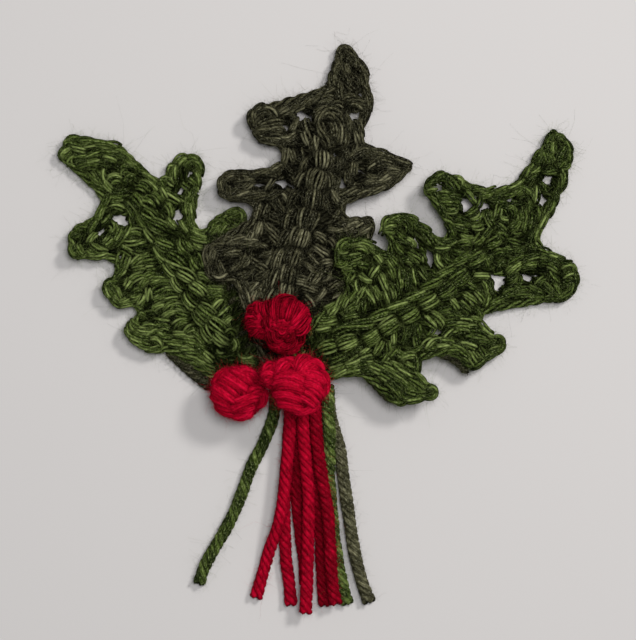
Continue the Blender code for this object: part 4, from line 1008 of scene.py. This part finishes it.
RIGHT_STITCHES = [
    # the tip
    (58.0, 23.0, 58.4, 24.8, 59.2, 24.2, 1.6), (56.6, 21.2, 57.4, 23.2, 58.6, 24.0, 2.0),
    (59.2, 22.8, 60.6, 24.0, 62.0, 22.4, 2.2), (61.2, 23.2, 62.8, 21.4, 63.0, 19.6, 2.0),
    (62.8, 19.8, 62.8, 18.4, 62.9, 17.0, 1.8), (61.0, 16.2, 62.0, 16.2, 62.9, 17.0, 1.8),
    (57.4, 17.2, 57.8, 19.4, 59.0, 21.8, 2.8), (59.8, 17.4, 60.8, 19.4, 62.0, 21.4, 2.8),
    (59.8, 15.9, 61.0, 16.8, 62.4, 18.0, 1.8), (53.7, 17.8, 54.2, 19.5, 55.8, 20.0, 2.2),
    (53.8, 16.6, 55.0, 17.4, 56.2, 18.8, 2.0), (55.6, 20.4, 56.4, 18.6, 57.0, 16.8, 2.0),
    (50.8, 13.8, 51.8, 15.2, 53.0, 15.9, 2.0), (52.4, 14.4, 54.0, 15.0, 55.6, 16.0, 1.8),
    (51.2, 12.6, 53.0, 13.2, 55.2, 14.0, 1.8), (57.0, 22.0, 57.4, 21.0, 58.6, 20.4, 1.6),
    (55.8, 15.4, 57.4, 15.0, 59.4, 15.2, 2.0), (61.3, 14.8, 61.3, 12.6, 60.4, 10.6, 2.0),
    (60.2, 13.2, 60.2, 11.2, 59.0, 9.2, 1.6), (59.8, 9.8, 59.0, 7.2, 57.4, 4.6, 1.8),
    (58.4, 8.6, 57.6, 6.2, 56.2, 4.0, 1.6), (57.0, 4.2, 56.0, 2.2, 55.0, 0.6, 1.8),
    (55.2, 1.0, 54.3, -0.8, 54.3, -2.8, 1.8), (55.0, 12.2, 56.2, 11.0, 57.2, 9.6, 2.0),
    (54.2, 11.4, 54.4, 9.2, 54.0, 7.0, 2.0), (52.4, 10.2, 52.8, 7.8, 52.0, 5.0, 2.2),
    (55.2, 6.4, 55.2, 4.4, 54.6, 2.4, 1.8), (53.2, 4.8, 53.2, 2.6, 52.6, 0.4, 2.0),
    (51.6, 3.4, 51.4, 1.6, 50.8, 0.0, 1.8), (53.2, 0.4, 53.0, -1.4, 52.4, -3.2, 1.8),
    # the edge between the tip and the upper left point
    (37.6, 10.2, 39.6, 10.6, 41.8, 10.0, 1.8), (41.0, 9.9, 44.0, 10.2, 47.0, 10.4, 1.8),
    (46.8, 10.6, 49.0, 11.3, 51.0, 12.6, 2.0), (40.2, 8.9, 43.0, 8.9, 46.6, 9.4, 1.8),
    (46.4, 9.0, 49.0, 9.4, 51.4, 10.6, 1.8), (50.0, 11.4, 52.0, 10.4, 53.6, 8.8, 1.8),
    (42.6, 8.2, 43.6, 7.6, 45.4, 8.6, 1.6), (49.6, 8.0, 50.6, 8.8, 51.8, 8.8, 1.6),
    (26.0, 11.8, 27.6, 12.3, 29.6, 12.5, 2.4), (26.2, 10.0, 27.6, 10.3, 29.4, 10.6, 2.2),
    (27.4, 13.0, 29.2, 14.4, 31.2, 13.9, 2.0), (30.4, 14.2, 31.8, 12.2, 33.0, 9.6, 2.8),
    (32.2, 14.0, 33.6, 12.0, 34.6, 9.8, 2.4), (33.4, 13.4, 34.9, 12.9, 35.2, 11.2, 2.0),
    (35.2, 11.6, 36.4, 10.8, 37.6, 10.4, 1.8), (27.6, 9.3, 28.9, 8.4, 29.9, 7.2, 1.8),
    (30.2, 9.2, 32.2, 8.6, 35.0, 7.6, 2.2), (30.2, 7.4, 32.6, 6.8, 35.2, 5.4, 2.2),
    (29.9, 7.2, 30.5, 5.0, 31.9, 3.2, 2.0), (31.6, 5.2, 32.8, 4.8, 34.2, 5.0, 1.8),
    (36.2, 10.4, 37.4, 8.6, 39.0, 6.6, 2.2), (39.3, 5.6, 40.2, 7.2, 40.4, 9.2, 1.6),
    (36.2, 4.0, 38.0, 4.6, 39.6, 5.6, 2.4), (37.4, 2.6, 39.4, 3.0, 40.6, 4.8, 1.8),
    (33.4, 3.2, 35.6, 2.2, 37.8, 1.2, 2.0), (33.0, 1.4, 35.0, 0.6, 37.2, 0.4, 2.0),
    (32.2, 1.6, 32.6, -0.2, 33.6, -1.6, 1.8), (37.6, 1.4, 39.2, 0.8, 40.8, 1.4, 1.8),
    # the round stitch at the top of the rib
    (43.4, 6.6, 45.0, 7.4, 47.4, 6.8, 1.8), (47.0, 6.2, 49.0, 7.0, 51.2, 6.6, 1.6),
    (42.2, 5.4, 42.2, 3.2, 43.4, 0.8, 2.6), (44.0, 3.6, 45.4, 6.0, 47.2, 4.8, 2.4),
    (46.6, 5.6, 48.4, 5.2, 48.4, 3.2, 2.0), (50.8, 4.8, 50.2, 2.6, 47.4, 0.8, 2.6),
    (51.2, 6.8, 51.6, 5.4, 51.0, 3.4, 1.6), (45.2, 3.6, 46.0, 2.8, 47.2, 2.8, 1.8),
    (44.0, 1.6, 45.4, 0.6, 46.8, -0.6, 2.0), (43.8, -0.8, 45.4, -0.6, 46.8, -1.8, 1.8),
    (48.2, 0.6, 49.2, -0.2, 50.6, -0.2, 1.6), (46.8, -2.6, 48.6, -3.0, 50.6, -3.8, 2.0),
    (34.4, -3.4, 36.2, -2.8, 38.0, -3.4, 2.0), (38.0, -3.4, 39.6, -2.2, 41.2, -0.8, 2.4),
    (35.0, -0.8, 36.6, -1.8, 38.6, -1.8, 1.8), (40.8, -1.6, 41.8, -0.4, 42.8, 0.6, 1.8),
    # the points on the upper side, from the base outwards
    (3.4, -8.4, 4.4, -4.2, 7.6, -2.0, 2.4), (7.2, -1.8, 10.4, -2.3, 12.8, -4.2, 2.0),
    (10.8, -2.2, 14.0, -2.8, 15.4, -5.6, 2.0), (15.4, -5.4, 17.4, -6.6, 19.2, -8.8, 2.2),
    (12.4, -3.8, 14.2, -5.6, 15.4, -8.2, 1.8), (5.4, -4.4, 6.8, -3.4, 8.6, -4.4, 1.8),
    (2.8, -8.6, 4.6, -8.8, 6.6, -7.6, 2.0), (5.4, -6.0, 7.6, -6.6, 10.8, -6.6, 2.2),
    (7.0, -8.6, 9.4, -8.4, 12.2, -9.0, 1.8), (8.8, -4.6, 10.6, -4.6, 12.2, -5.8, 1.8),
    (12.8, -11.8, 13.8, -10.2, 14.8, -8.6, 2.4), (17.0, -7.0, 17.9, -9.4, 18.2, -12.0, 2.0),
    (9.8, -11.2, 11.4, -12.2, 13.2, -12.6, 1.8), (9.4, -12.4, 9.0, -14.0, 9.6, -15.6, 1.8),
    (15.4, -10.6, 16.0, -12.8, 17.0, -15.2, 2.0), (13.4, -13.6, 14.4, -15.4, 15.2, -17.4, 1.8),
    (11.6, -14.4, 12.6, -16.4, 13.6, -18.6, 1.8), (5.6, -10.6, 7.4, -10.0, 9.4, -10.4, 1.8),
    (7.0, -13.2, 7.8, -11.8, 8.8, -10.8, 1.6), (14.2, -1.2, 14.9, 0.6, 15.8, 1.6, 1.6),
    (15.6, 0.8, 17.4, 3.0, 20.0, 3.5, 2.0), (19.2, 3.6, 22.4, 4.2, 24.2, 2.2, 2.4),
    (20.4, 3.2, 22.0, 1.6, 22.0, -0.8, 2.4), (22.4, 3.0, 23.8, 1.8, 24.2, -0.2, 2.0),
    (15.2, 0.2, 17.4, 1.2, 19.2, 1.2, 2.0), (15.4, -1.2, 17.0, -0.4, 19.0, -0.6, 1.8),
    (18.2, 2.4, 19.4, 2.6, 20.6, 1.8, 1.8), (19.2, -0.6, 20.4, -2.2, 22.6, -3.4, 2.2),
    (18.9, -2.8, 19.5, -4.6, 20.6, -6.2, 2.0), (21.2, -2.0, 22.8, -3.0, 23.8, -4.2, 1.8),
    (24.4, 1.4, 26.2, 0.8, 27.6, -0.6, 2.0), (25.6, 0.4, 26.9, -1.4, 28.4, -3.6, 2.4),
    (28.0, -0.6, 29.0, -2.6, 31.0, -3.2, 1.8), (30.0, -2.8, 32.0, -2.8, 34.0, -1.8, 2.2),
    (28.4, -4.2, 30.2, -4.6, 33.0, -3.8, 2.0), (22.0, -5.0, 23.6, -6.4, 25.2, -8.0, 2.2),
    (20.0, -8.0, 21.8, -7.2, 23.6, -8.4, 2.0), (24.8, -5.2, 25.8, -6.6, 26.0, -8.4, 1.6),
    (29.2, -5.6, 29.2, -7.8, 30.8, -9.4, 1.8), (30.8, -5.6, 31.6, -7.2, 33.0, -8.2, 1.8),
    (20.6, -9.4, 20.2, -12.0, 19.6, -14.4, 2.0), (23.0, -9.2, 23.4, -11.6, 24.2, -13.6, 1.8),
    (25.2, -9.0, 26.0, -11.0, 27.0, -12.4, 1.8), (18.0, -13.4, 18.8, -15.2, 18.8, -17.2, 2.2),
    (16.2, -14.8, 16.8, -16.4, 17.4, -18.2, 1.8), (21.8, -10.2, 21.8, -12.6, 22.0, -15.0, 1.8),
    (27.4, -10.0, 28.4, -11.0, 29.8, -10.8, 1.6), (33.2, -4.6, 34.6, -5.4, 36.2, -5.0, 1.8),
    # the base, beside the berries
    (2.6, -20.8, 4.4, -19.2, 6.2, -17.0, 2.4), (5.4, -18.8, 7.4, -17.0, 9.6, -15.4, 2.2),
    (8.2, -18.2, 10.0, -16.4, 11.8, -14.6, 2.2), (0.0, -20.8, 2.0, -21.8, 4.4, -21.4, 2.0),
    (0.0, -22.6, 2.0, -23.2, 4.6, -22.6, 2.0), (-0.6, -24.4, 1.2, -24.8, 3.2, -24.4, 2.0),
    (6.4, -20.8, 8.2, -19.6, 10.2, -19.0, 2.0), (5.8, -22.2, 7.8, -21.6, 9.8, -21.0, 1.8),
    (10.4, -20.6, 10.6, -19.0, 11.6, -17.6, 2.0), (0.6, -18.6, 2.2, -18.4, 3.6, -17.2, 1.8),
    # the outer point
    (55.2, -4.4, 57.6, -5.4, 60.2, -6.2, 2.0), (58.0, -5.8, 60.0, -5.9, 61.4, -7.0, 2.0),
    (60.8, -7.2, 63.8, -7.6, 64.4, -10.2, 2.4), (64.4, -10.0, 64.3, -13.2, 62.6, -15.4, 2.4),
    (60.6, -9.6, 62.4, -8.6, 64.2, -9.0, 2.2), (60.8, -11.6, 62.6, -10.8, 64.4, -11.2, 2.2),
    (60.4, -13.6, 62.2, -13.0, 64.0, -13.6, 2.0), (57.8, -9.6, 58.6, -11.6, 60.2, -13.2, 2.2),
    (47.4, -7.6, 51.0, -6.6, 55.2, -6.4, 2.0), (47.2, -9.9, 50.6, -8.6, 54.4, -8.6, 2.6),
    (50.4, -9.9, 52.4, -9.2, 54.2, -9.4, 1.6), (55.4, -7.0, 57.4, -8.0, 59.4, -9.8, 2.2),
    (55.6, -5.8, 57.8, -6.8, 60.0, -8.4, 2.0), (46.9, -12.6, 48.2, -11.8, 49.4, -10.6, 2.0),
    (48.6, -13.8, 49.8, -12.8, 50.4, -11.2, 1.8), (54.4, -13.6, 55.4, -12.4, 57.0, -11.6, 2.0),
    (46.0, -15.0, 49.0, -14.4, 52.2, -14.8, 2.0), (45.2, -16.4, 49.0, -15.8, 53.0, -16.2, 1.8),
    (52.0, -13.4, 54.0, -14.8, 56.2, -15.6, 1.8), (56.0, -12.8, 57.2, -14.4, 58.8, -15.6, 2.2),
    (58.6, -12.8, 59.4, -14.6, 60.6, -16.0, 2.0), (52.4, -16.6, 56.4, -16.6, 60.4, -17.0, 1.8),
    (59.4, -17.0, 61.6, -16.9, 63.2, -15.2, 2.0), (42.6, -18.6, 44.2, -17.6, 46.4, -16.8, 2.0),
    (42.6, -12.0, 42.4, -14.2, 43.6, -16.2, 2.2), (40.6, -12.4, 41.4, -14.0, 41.8, -16.0, 1.8),
    (38.4, -11.2, 40.4, -11.2, 42.6, -11.4, 1.8), (41.4, -8.4, 42.2, -6.8, 43.6, -6.2, 2.0),
    (44.4, -9.6, 45.2, -8.0, 46.6, -7.2, 1.8), (43.6, -5.6, 45.4, -5.2, 47.4, -5.4, 2.0),
    (46.0, -4.0, 48.6, -4.8, 51.4, -4.8, 1.8), (51.4, -3.0, 53.2, -4.0, 55.0, -4.6, 1.8),
    (40.4, -5.6, 41.4, -7.2, 42.0, -9.2, 1.8),
    # below the rib
    (35.6, -15.4, 37.4, -16.8, 39.0, -18.4, 2.2), (34.4, -17.6, 36.0, -19.2, 37.8, -20.6, 2.2),
    (38.6, -18.8, 39.6, -20.4, 40.6, -21.8, 2.0), (39.0, -14.6, 40.0, -16.2, 40.8, -18.0, 2.0),
    (36.4, -12.8, 37.8, -13.6, 39.4, -14.2, 1.8), (42.4, -15.8, 41.6, -17.4, 40.8, -19.2, 1.8),
    (32.6, -16.6, 33.6, -18.2, 34.8, -19.6, 1.8), (29.8, -19.6, 32.4, -20.0, 35.0, -21.2, 2.0),
    (31.8, -21.0, 35.0, -21.6, 38.2, -23.0, 2.2), (31.2, -22.8, 34.0, -23.2, 37.2, -24.8, 2.2),
    (30.6, -26.4, 33.0, -25.0, 36.2, -25.4, 2.4), (36.4, -23.8, 39.0, -24.8, 41.8, -26.8, 2.2),
    (38.0, -21.4, 40.0, -23.0, 41.8, -24.8, 2.0), (41.0, -22.9, 42.4, -24.4, 43.8, -25.6, 2.0),
    (43.4, -26.8, 45.2, -26.6, 46.1, -28.2, 2.0), (46.0, -28.0, 45.8, -29.6, 44.0, -30.6, 2.0),
    (41.6, -28.9, 43.0, -28.0, 44.8, -28.4, 1.8), (42.0, -30.4, 43.8, -29.8, 45.4, -29.4, 1.8),
    (44.2, -30.6, 41.0, -32.6, 38.2, -33.6, 2.0), (37.2, -29.8, 38.2, -32.0, 39.2, -33.2, 2.4),
    (39.4, -29.0, 40.4, -30.8, 41.6, -31.8, 2.2), (36.4, -26.2, 39.4, -27.2, 42.2, -28.6, 2.2),
    (34.8, -27.8, 37.0, -28.4, 39.2, -29.4, 2.0), (26.0, -28.6, 28.2, -27.6, 31.2, -28.2, 2.4),
    (29.4, -27.2, 33.0, -28.2, 36.0, -30.4, 2.2), (26.6, -29.6, 30.6, -29.0, 34.6, -30.4, 1.8),
    (34.0, -29.4, 36.0, -31.2, 37.2, -33.0, 2.2), (25.8, -21.0, 27.4, -22.8, 29.0, -24.2, 2.2),
    (27.8, -20.2, 29.6, -21.8, 31.0, -23.8, 2.0), (23.8, -28.8, 24.2, -26.2, 24.4, -23.4, 2.0),
    (20.4, -28.2, 21.4, -26.2, 22.0, -23.8, 2.0), (17.0, -30.0, 18.0, -27.8, 18.8, -25.4, 2.0),
    (26.4, -26.6, 27.6, -25.4, 28.4, -24.0, 1.6), (13.6, -31.0, 14.6, -29.2, 15.6, -27.2, 2.0),
    (10.2, -30.6, 11.4, -29.6, 13.0, -28.8, 1.8), (22.0, -27.0, 23.0, -25.0, 23.2, -22.6, 1.6),
    (15.2, -31.8, 17.4, -31.0, 19.6, -29.4, 2.2), (19.8, -32.2, 21.8, -31.0, 24.0, -31.4, 2.2),
    (22.2, -30.2, 24.0, -29.4, 25.8, -28.4, 2.0), (19.0, -29.6, 20.4, -30.8, 22.0, -31.6, 1.8),
    (3.0, -34.4, 8.0, -33.2, 13.2, -33.2, 2.0), (3.6, -35.8, 8.6, -34.6, 13.8, -35.2, 1.8),
    (6.6, -32.6, 10.0, -31.8, 13.4, -31.8, 2.0), (12.6, -33.2, 15.0, -35.0, 17.2, -37.2, 2.2),
    (2.6, -32.0, 4.8, -31.4, 7.2, -31.0, 2.0), (7.6, -30.4, 9.0, -29.2, 10.6, -28.6, 1.8),
    # the long curled point at the bottom
    (24.0, -31.0, 24.6, -33.2, 25.2, -35.6, 2.0), (24.8, -35.2, 25.6, -37.0, 26.6, -38.6, 1.8),
    (26.6, -38.9, 28.4, -38.5, 29.0, -40.2, 2.0), (29.0, -40.0, 28.4, -41.2, 26.4, -41.2, 1.8),
    (26.2, -40.0, 27.2, -39.6, 28.2, -40.2, 1.4), (13.8, -32.8, 17.0, -35.4, 20.4, -39.6, 2.4),
    (16.0, -33.0, 19.4, -36.0, 22.8, -40.0, 2.2), (19.8, -33.8, 22.8, -36.4, 25.4, -39.4, 2.4),
    (21.6, -32.8, 23.8, -35.0, 25.4, -37.6, 2.0), (17.4, -37.2, 18.8, -39.6, 20.2, -41.6, 2.0),
    (22.0, -38.8, 24.0, -40.4, 26.6, -40.8, 2.0), (20.2, -40.6, 22.0, -41.9, 25.0, -41.9, 2.0),
    (18.0, -32.6, 20.0, -34.4, 21.6, -36.2, 1.8),
]
stitch_leaf("leaf_right", RIGHT_SPINE, RIGHT_HOLES, RIGHT_RIB, RIGHT_STITCHES, (0.28, 0.76),
            lean=0.2)
# under the right leaf the dark rim is painted shadow, laid along its lower edge where its shadow falls
dark_rim_yarn("leaf_right", [[(11.4, -36.0), (13.7, -37.8), (16.0, -40.3), (18.4, -42.6)],
                           [(30.0, -30.4), (33.0, -31.4), (35.6, -33.4), (37.4, -35.4)]], -1.4)

# ---------------------------------------------------------------------------------------------
# The three berries, small balls of red yarn. Each is wound and stitched into a knob, with strands
# lying side by side over its front, and is sewn on where the leaves meet.
BERRIES = {
    "berry_top": [(-8.4, -22.3, 15.2, 6.6, 5.9, 5.2), (-13.8, -22.3, 14.4, 4.1, 4.4, 3.9),
                  (-8.2, -27.2, 14.0, 4.2, 3.0, 3.4)],
    "berry_left": [(-19.9, -40.2, 8.8, 7.1, 6.6, 5.2)],
    "berry_right": [(-4.8, -38.0, 15.4, 7.1, 7.2, 5.2), (-11.2, -35.8, 14.8, 3.2, 2.9, 2.9)],
}
BERRY_STITCHES = {
    "berry_top": [
        (-14.6, -21.4, -14.9, -19.2, -14.4, -17.8, 2.4), (-12.7, -22.0, -12.8, -19.2, -12.2, -17.0, 2.4),
        (-10.9, -22.6, -10.7, -19.2, -9.7, -16.6, 2.4), (-9.2, -22.2, -8.6, -19.2, -7.2, -16.6, 2.4),
        (-7.8, -22.6, -6.4, -19.6, -4.7, -17.4, 2.4), (-7.0, -23.8, -4.6, -21.0, -2.7, -19.0, 2.4),
        (-6.2, -24.6, -4.0, -23.0, -1.9, -21.0, 2.2), (-5.8, -25.4, -4.0, -24.8, -2.2, -23.0, 2.0),
        (-11.4, -17.4, -8.2, -16.6, -5.0, -17.6, 2.0), (-17.7, -20.4, -16.6, -19.6, -15.2, -19.8, 2.0),
        (-17.9, -22.2, -16.6, -21.6, -15.0, -22.4, 2.0), (-17.8, -23.8, -16.4, -23.2, -14.8, -23.8, 2.0),
        (-17.2, -25.4, -16.0, -25.2, -14.4, -24.6, 2.0), (-16.6, -18.9, -15.4, -18.4, -14.2, -19.0, 1.8),
        (-12.4, -24.8, -11.6, -27.4, -9.4, -28.6, 2.2), (-9.8, -28.6, -7.0, -28.8, -5.0, -26.8, 2.2),
        (-10.8, -25.0, -10.2, -26.8, -8.4, -27.2, 2.0), (-8.8, -27.0, -6.8, -26.8, -6.2, -25.2, 1.8),
        (-10.0, -24.4, -8.8, -25.6, -7.4, -24.8, 2.0), (-5.2, -28.2, -4.2, -27.0, -3.2, -25.4, 2.0),
        (-9.2, -29.6, -6.6, -29.7, -4.6, -28.6, 1.8), (-13.8, -24.4, -13.0, -22.6, -13.2, -21.0, 2.0),
    ],
    "berry_left": [
        (-26.2, -38.6, -24.6, -36.2, -22.0, -34.6, 2.2), (-25.2, -36.4, -22.4, -38.0, -19.4, -40.6, 2.4),
        (-23.8, -35.1, -20.8, -37.0, -17.4, -39.4, 2.4), (-21.8, -34.4, -19.2, -35.8, -16.4, -38.0, 2.4),
        (-19.6, -34.2, -17.6, -35.0, -15.4, -36.8, 2.4), (-26.5, -40.2, -24.4, -41.8, -22.2, -43.8, 2.4),
        (-26.2, -38.2, -23.6, -40.2, -20.6, -42.6, 2.4), (-25.4, -42.8, -23.2, -44.6, -20.6, -45.8, 2.4),
        (-21.4, -46.0, -18.6, -46.0, -16.2, -45.0, 2.2), (-21.6, -44.6, -18.8, -43.6, -15.6, -43.4, 2.4),
        (-20.8, -42.8, -17.6, -41.6, -14.6, -41.6, 2.4), (-17.4, -40.0, -15.2, -39.4, -13.6, -40.8, 2.2),
        (-14.4, -38.8, -13.4, -41.4, -14.6, -44.0, 2.2), (-16.4, -35.6, -14.8, -37.0, -13.8, -38.8, 2.0),
    ],
    "berry_right": [
        (-11.4, -34.0, -10.0, -32.6, -8.0, -31.6, 2.4), (-10.4, -35.4, -8.8, -33.8, -6.8, -32.6, 2.6),
        (-8.4, -31.7, -6.8, -32.2, -5.6, -33.4, 2.0), (-5.6, -33.8, -4.0, -31.8, -1.6, -31.5, 2.4),
        (-1.8, -31.6, 0.2, -32.6, 1.1, -34.6, 2.4), (-5.0, -35.4, -2.6, -33.4, 0.0, -34.0, 2.8),
        (-11.4, -36.4, -7.4, -35.8, -3.4, -37.6, 2.8), (-5.4, -35.0, -1.6, -35.6, 1.6, -38.2, 2.8),
        (-11.4, -38.4, -7.6, -38.0, -3.2, -40.0, 2.8), (-3.8, -37.2, -1.0, -38.6, 0.8, -41.4, 2.8),
        (-11.2, -40.4, -7.8, -40.4, -4.4, -42.4, 2.8), (-4.4, -39.6, -2.2, -41.2, -0.8, -43.6, 2.6),
        (-10.2, -42.4, -7.4, -42.8, -4.0, -44.6, 2.6), (0.8, -34.6, 2.0, -37.4, 1.4, -40.6, 2.4),
        (-6.4, -44.4, -3.0, -44.6, 0.2, -42.8, 2.2), (-13.8, -34.8, -12.4, -33.6, -11.2, -33.4, 2.0),
        (-14.0, -36.2, -12.6, -35.4, -11.0, -35.8, 2.0), (-13.2, -37.6, -12.0, -37.2, -10.8, -37.4, 1.8),
    ],
}


# The top berry's strands are crisp, with deep painted shade between their plies and at their ends, and
# those of the lower two are rubbed and felted together, with only faint painted shade.
CRISP_DEEP_SHADED_STRANDS = {"rise": 1.0, "dark": 0.1, "tones": (0.0, 0.34), "groove_shade": 0.75, "full": 0.62,
                 "sides": 0.6, "gap": 0.50}
FELTED_FAINT_SHADED_STRANDS = {"rise": 0.5, "dark": 0.65, "tones": (0.46, 0.64), "groove_shade": 0.08,
                  "full": 0.95, "sides": 0.25, "mixed": 0.14, "gap": 0.46}
CRISP_HAIR = {"count": 3500, "length": 0.7, "thick": 0.018, "lift": 0.05}
FELTED_HAIR = {"count": 9000, "length": 0.9, "thick": 0.022, "lift": 0.03}
WOUND_IN = 0.84  # the windings under the front lie at this share of a ball's radius
HEART_SIZE = 0.86  # and so does the plain ball inside them, which closes the gaps


class BerryGround:
    """The rounded front of a berry, made of a few balls run together."""

    RIM = 0.97  # spots farther out than this share of a ball's radius are drawn in to it

    def __init__(self, balls):
        self.balls = np.array(balls, float)

    def place(self, spots):
        """Points at x, y and a height over the front of a berry, and the directions of its front."""
        spots = np.asarray(spots, float)
        best = np.full(len(spots), -1e9)
        at = np.zeros((len(spots), 3))
        front = np.zeros((len(spots), 3))
        for x, y, z, rx, ry, rz in self.balls:
            u = np.column_stack([(spots[:, 0] - x) / rx, (spots[:, 1] - y) / ry])
            far = np.linalg.norm(u, axis=1)
            kept = u / np.maximum(far, 1e-6)[:, None] * np.minimum(far, self.RIM)[:, None]
            top = np.sqrt(1 - (kept**2).sum(1))
            rank = z + rz * top - 30 * np.maximum(far - self.RIM, 0)
            up = unit(np.column_stack([kept[:, 0] / rx, kept[:, 1] / ry, top / rz]))
            point = np.column_stack([x + rx * kept[:, 0], y + ry * kept[:, 1], z + rz * top])
            better = rank > best
            best = np.where(better, rank, best)
            at[better] = point[better]
            front[better] = up[better]
        return at + front * spots[:, 2:], front


for name, balls in BERRIES.items():
    crisp = name == "berry_top"
    strands = CRISP_DEEP_SHADED_STRANDS if crisp else FELTED_FAINT_SHADED_STRANDS
    ground = BerryGround(balls)
    work = YarnWork()
    for stitch in BERRY_STITCHES[name]:
        bundle(work, ground, stitch, lift=-0.1, slant=0.5, **strands)
    for x, y, z, rx, ry, rz in balls:
        sizes = np.array([rx, ry, rz])
        for winding in range(16):
            axis = unit(chance.normal(0, 1, 3))
            side = unit(np.cross(axis, [0.3, 0.5, 0.8]))
            other = np.cross(axis, side)
            t = np.linspace(0, 2 * math.pi, 30)[:, None]
            ring = (np.cos(t) * side + np.sin(t) * other) * sizes * WOUND_IN
            ring = ring + axis * chance.uniform(-0.25, 0.25) * sizes
            # the windings lie under the front strands, and their lower shade is painted shade
            work.lay(ring + (x, y, z), unit(ring / sizes**2), thick=2.5, flat=0.7, lead=9,
                     sides=5, tint=chance.uniform(0.2, 0.6), shade=0.75)
    ball = work.make(name + "_yarn", red_yarn)
    hair = YarnWork()
    hair.fuzz(work, felted=1.0, **(CRISP_HAIR if crisp else FELTED_HAIR))
    hair.fuzz(work, count=300, length=1.5, thick=0.012, lift=0.8)
    halo = hair.make(name + "_fuzz", red_yarn)
    bpy.ops.object.select_all(action="DESELECT")
    bpy.ops.mesh.primitive_uv_sphere_add(segments=32, ring_count=20, radius=1, location=(0, 0, 0))
    heart = bpy.context.active_object
    heart.name = name + "_heart"
    x, y, z, rx, ry, rz = balls[0]
    for vert in heart.data.vertices:
        vert.co = Vector((x + vert.co.x * rx * HEART_SIZE, y + vert.co.y * ry * HEART_SIZE,
                          z + vert.co.z * rz * HEART_SIZE)) * MM
    heart.data.materials.append(red_yarn)
    heart.data.uv_layers[0].name = "ply"
    bpy.ops.object.shade_smooth()
    for piece in (ball, halo, heart):
        stand_in(piece, name)
